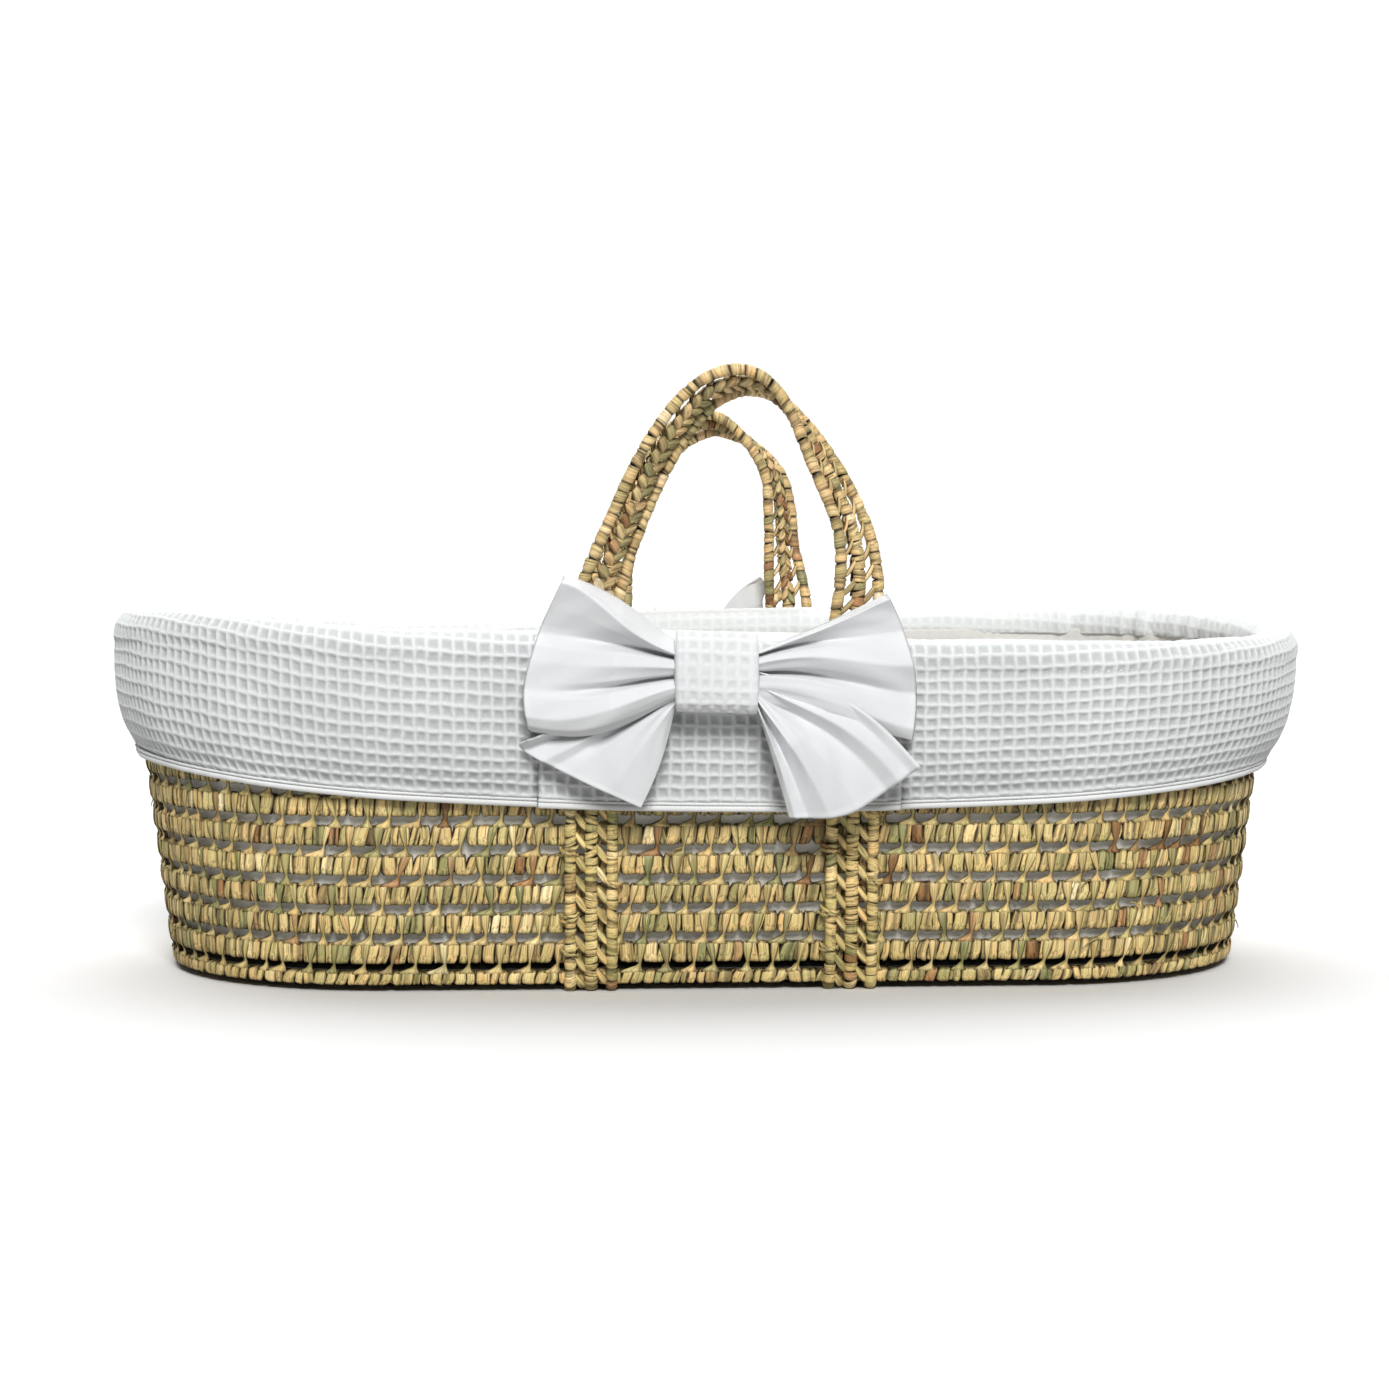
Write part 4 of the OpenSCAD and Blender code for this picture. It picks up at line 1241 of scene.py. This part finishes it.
# Colours of a leaf strip (sRGB) from tint 0, an old brown leaf, to tint 1, a bleached one
LEAF_COLOURS = [(0.0, (150, 116, 74)), (0.1, (204, 164, 118)), (0.22, (168, 166, 116)),
                (0.34, (206, 188, 132)), (0.5, (226, 200, 144)), (0.66, (214, 198, 140)),
                (0.82, (240, 218, 162)), (1.0, (248, 234, 190))]
# The near-black of the painted shade in the leaf's grooves, creases and sides
CREVICE_SHADE_COLOUR = (40, 29, 12)
# What the fibres and the larger patches multiply the leaf's colour by
FIBRE_TONES = [(0.3, (0.36, 0.33, 0.27)), (0.5, (0.95, 0.95, 0.93)), (0.7, (1.22, 1.19, 1.12))]
PATCH_TONES = [(0.3, (0.82, 0.88, 0.72)), (0.5, (1.0, 1.0, 1.0)), (0.72, (1.1, 0.98, 0.84))]
BUMP_DEPTH = 0.4 * MM


def palm_material(name, tone):
    """Dry palm leaf, whose colour is multiplied by tone"""
    shader = Shader(name, 0.5)
    grain = shader.layer("grain", "Vector")
    stops = [(place, tuple(np.array(tone) * linear(*rgb))) for place, rgb in LEAF_COLOURS]
    colour = shader.ramp(shader.layer("tint"), stops)
    fibre = shader.noise(grain, (820, 50, 1.7), 4.0)
    blotch = shader.noise(grain, (140, 60, 2.3), 2.0)
    colour = shader.mix("MULTIPLY", 0.95, colour, shader.ramp(fibre, FIBRE_TONES))
    colour = shader.mix("MULTIPLY", 0.8, colour, shader.ramp(blotch, PATCH_TONES))
    # Painted shade: the edge value mixes in the crevice shade colour
    shade_share = shader.node("Math", {0: shader.layer("edge"), 1: 0.95}, operation="MULTIPLY").outputs[0]
    colour = shader.mix("MIX", shade_share, colour, (*linear(*CREVICE_SHADE_COLOUR), 1))
    return shader.finish(colour, fibre, 0.8)


def cotton_material(name, rgb, thread, bump, sheen=0.3, shade=0.93, sheer=0.0):
    """Matte cotton in an sRGB colour: thread is how fine its threads are (per metre), bump how
    rough, shade how dark its darker clouds are, and sheer the share of light it lets through"""
    shader = Shader(name, 0.9)
    shader.surface.inputs["Sheen Weight"].default_value = sheen
    shader.surface.inputs["Sheen Roughness"].default_value = 0.5
    shader.surface.inputs["Specular IOR Level"].default_value = 0.25
    place = shader.node("TexCoord").outputs["Object"]
    weave = shader.noise(place, (thread, thread, thread), 2.0)
    cloud = shader.noise(place, (14, 14, 14), 2.0)
    base = linear(*rgb)
    dark = tuple(shade * c for c in base)
    colour = shader.ramp(cloud, [(0.3, dark), (0.7, base)])
    lint = shader.ramp(weave, [(0.3, (0.94, 0.94, 0.94)), (0.7, (1.0, 1.0, 1.0))])
    colour = shader.mix("MULTIPLY", 1.0, colour, lint)
    # Painted shade: the edge value darkens the cloth, down to black at BLACK_EDGE
    depth = shader.node("MapRange", {"Value": shader.layer("edge"), "From Max": BLACK_EDGE,
                                     "To Min": 1.0, "To Max": 0.0})
    colour = shader.mix("MULTIPLY", 1.0, colour, shader.grey(depth.outputs[0]))
    if sheer:
        shader.let_light_through(colour, sheer)
    return shader.finish(colour, weave, bump)


# Stage -------------------------------------------------------------------------------

WORLD_LIGHT = 0.3
WORLD_SEEN = 1.05
FLOOR_LIGHT = 0.5
FLOOR_SEEN = 0.74
FLOOR_HALF = 12


def make_stage():
    """A white studio with a floor and two lamps"""
    scene = bpy.context.scene
    scene.view_settings.view_transform = "Standard"
    scene.view_settings.gamma = 0.8
    world = bpy.data.worlds.new("studio")
    world.use_nodes = True
    background = world.node_tree.nodes["Background"]
    background.inputs["Color"].default_value = (1, 1, 1, 1)
    # The backdrop shows pure white, and lights the basket less than that
    path = world.node_tree.nodes.new("ShaderNodeLightPath")
    level = world.node_tree.nodes.new("ShaderNodeMapRange")
    level.inputs["To Min"].default_value = WORLD_LIGHT
    level.inputs["To Max"].default_value = WORLD_SEEN
    world.node_tree.links.new(path.outputs["Is Camera Ray"], level.inputs["Value"])
    world.node_tree.links.new(level.outputs["Result"], background.inputs["Strength"])
    scene.world = world
    mesh = bpy.data.meshes.new("floor")
    signs = ((-1, -1), (1, -1), (1, 1), (-1, 1))
    mesh.from_pydata([(x * FLOOR_HALF, y * FLOOR_HALF, 0) for x, y in signs], [], [(0, 1, 2, 3)])
    floor = bpy.data.objects.new("floor", mesh)
    scene.collection.objects.link(floor)
    # The floor looks white but throws only part of its light back up at the basket
    shader = Shader("pale_floor", 0.9)
    path = shader.node("LightPath")
    level = shader.node("MapRange", {"Value": path.outputs["Is Camera Ray"],
                                     "To Min": FLOOR_LIGHT, "To Max": FLOOR_SEEN})
    shader.tree.links.new(shader.grey(level.outputs[0]), shader.surface.inputs["Base Color"])
    shader.surface.inputs["Specular IOR Level"].default_value = 0.0
    mesh.materials.append(shader.material)
    make_sun("overhead", (0, -0.6, -1), 74, 2.5)
    make_sun("front", (-0.03, 0.85, -0.66), 20, 2.85)


# Build -------------------------------------------------------------------------------

make_camera()
make_stage()
palm = palm_material("palm leaf", (1.12, 1.13, 1.25))
palm_ties = palm_material("palm leaf ties", (1.0, 1.02, 1.12))
palm_handles = palm_material("palm leaf handles", (1.03, 1.0, 1.2))
waffle_cotton = cotton_material("waffle cotton", (227, 229, 229), 1500, 0.5)
# A slightly lighter copy of the waffle cotton for the knots: painted light, as the knots stand out into
# the light
lit_knot_cotton = cotton_material("waffle cotton lit at the knots", (229, 231, 231), 1500, 0.5)
plain_cotton = cotton_material("plain cotton", (220, 221, 222), 2600, 0.15, sheen=0.15, shade=0.97)
binding = cotton_material("cotton binding", (228, 229, 228), 2200, 0.2)
lining = cotton_material("cotton lining", (248, 247, 243), 1500, 0.45, sheer=0.3)
jersey = cotton_material("mattress jersey", (222, 221, 216), 1900, 0.3)

make_wall(palm, palm_ties)
make_base(palm)
make_straps(palm, palm_ties)
make_handle("front_handle", FRONT_LINE, 200, palm_handles, pads_side=-1)
make_handle("rear_handle", REAR_LINE, 210, palm_handles, pads_side=1)
roll = make_roll(waffle_cotton)
skirts = {side: make_skirt(side, waffle_cotton) for side in (-1, 1)}
flaps = {word: make_flap(word, turn, waffle_cotton) for word, turn in (("front", 1), ("rear", -1))}
hems = make_hems(binding)
make_slit_bindings(binding)
lining_wall = make_lining_wall(lining)
lining_floor = make_lining_floor(lining)
make_mattress(jersey)
front_bow = make_bow("front", FRONT_BOW, plain_cotton, lit_knot_cotton, 220)
rear_bow = make_bow("rear", REAR_BOW, plain_cotton, lit_knot_cotton, 230)
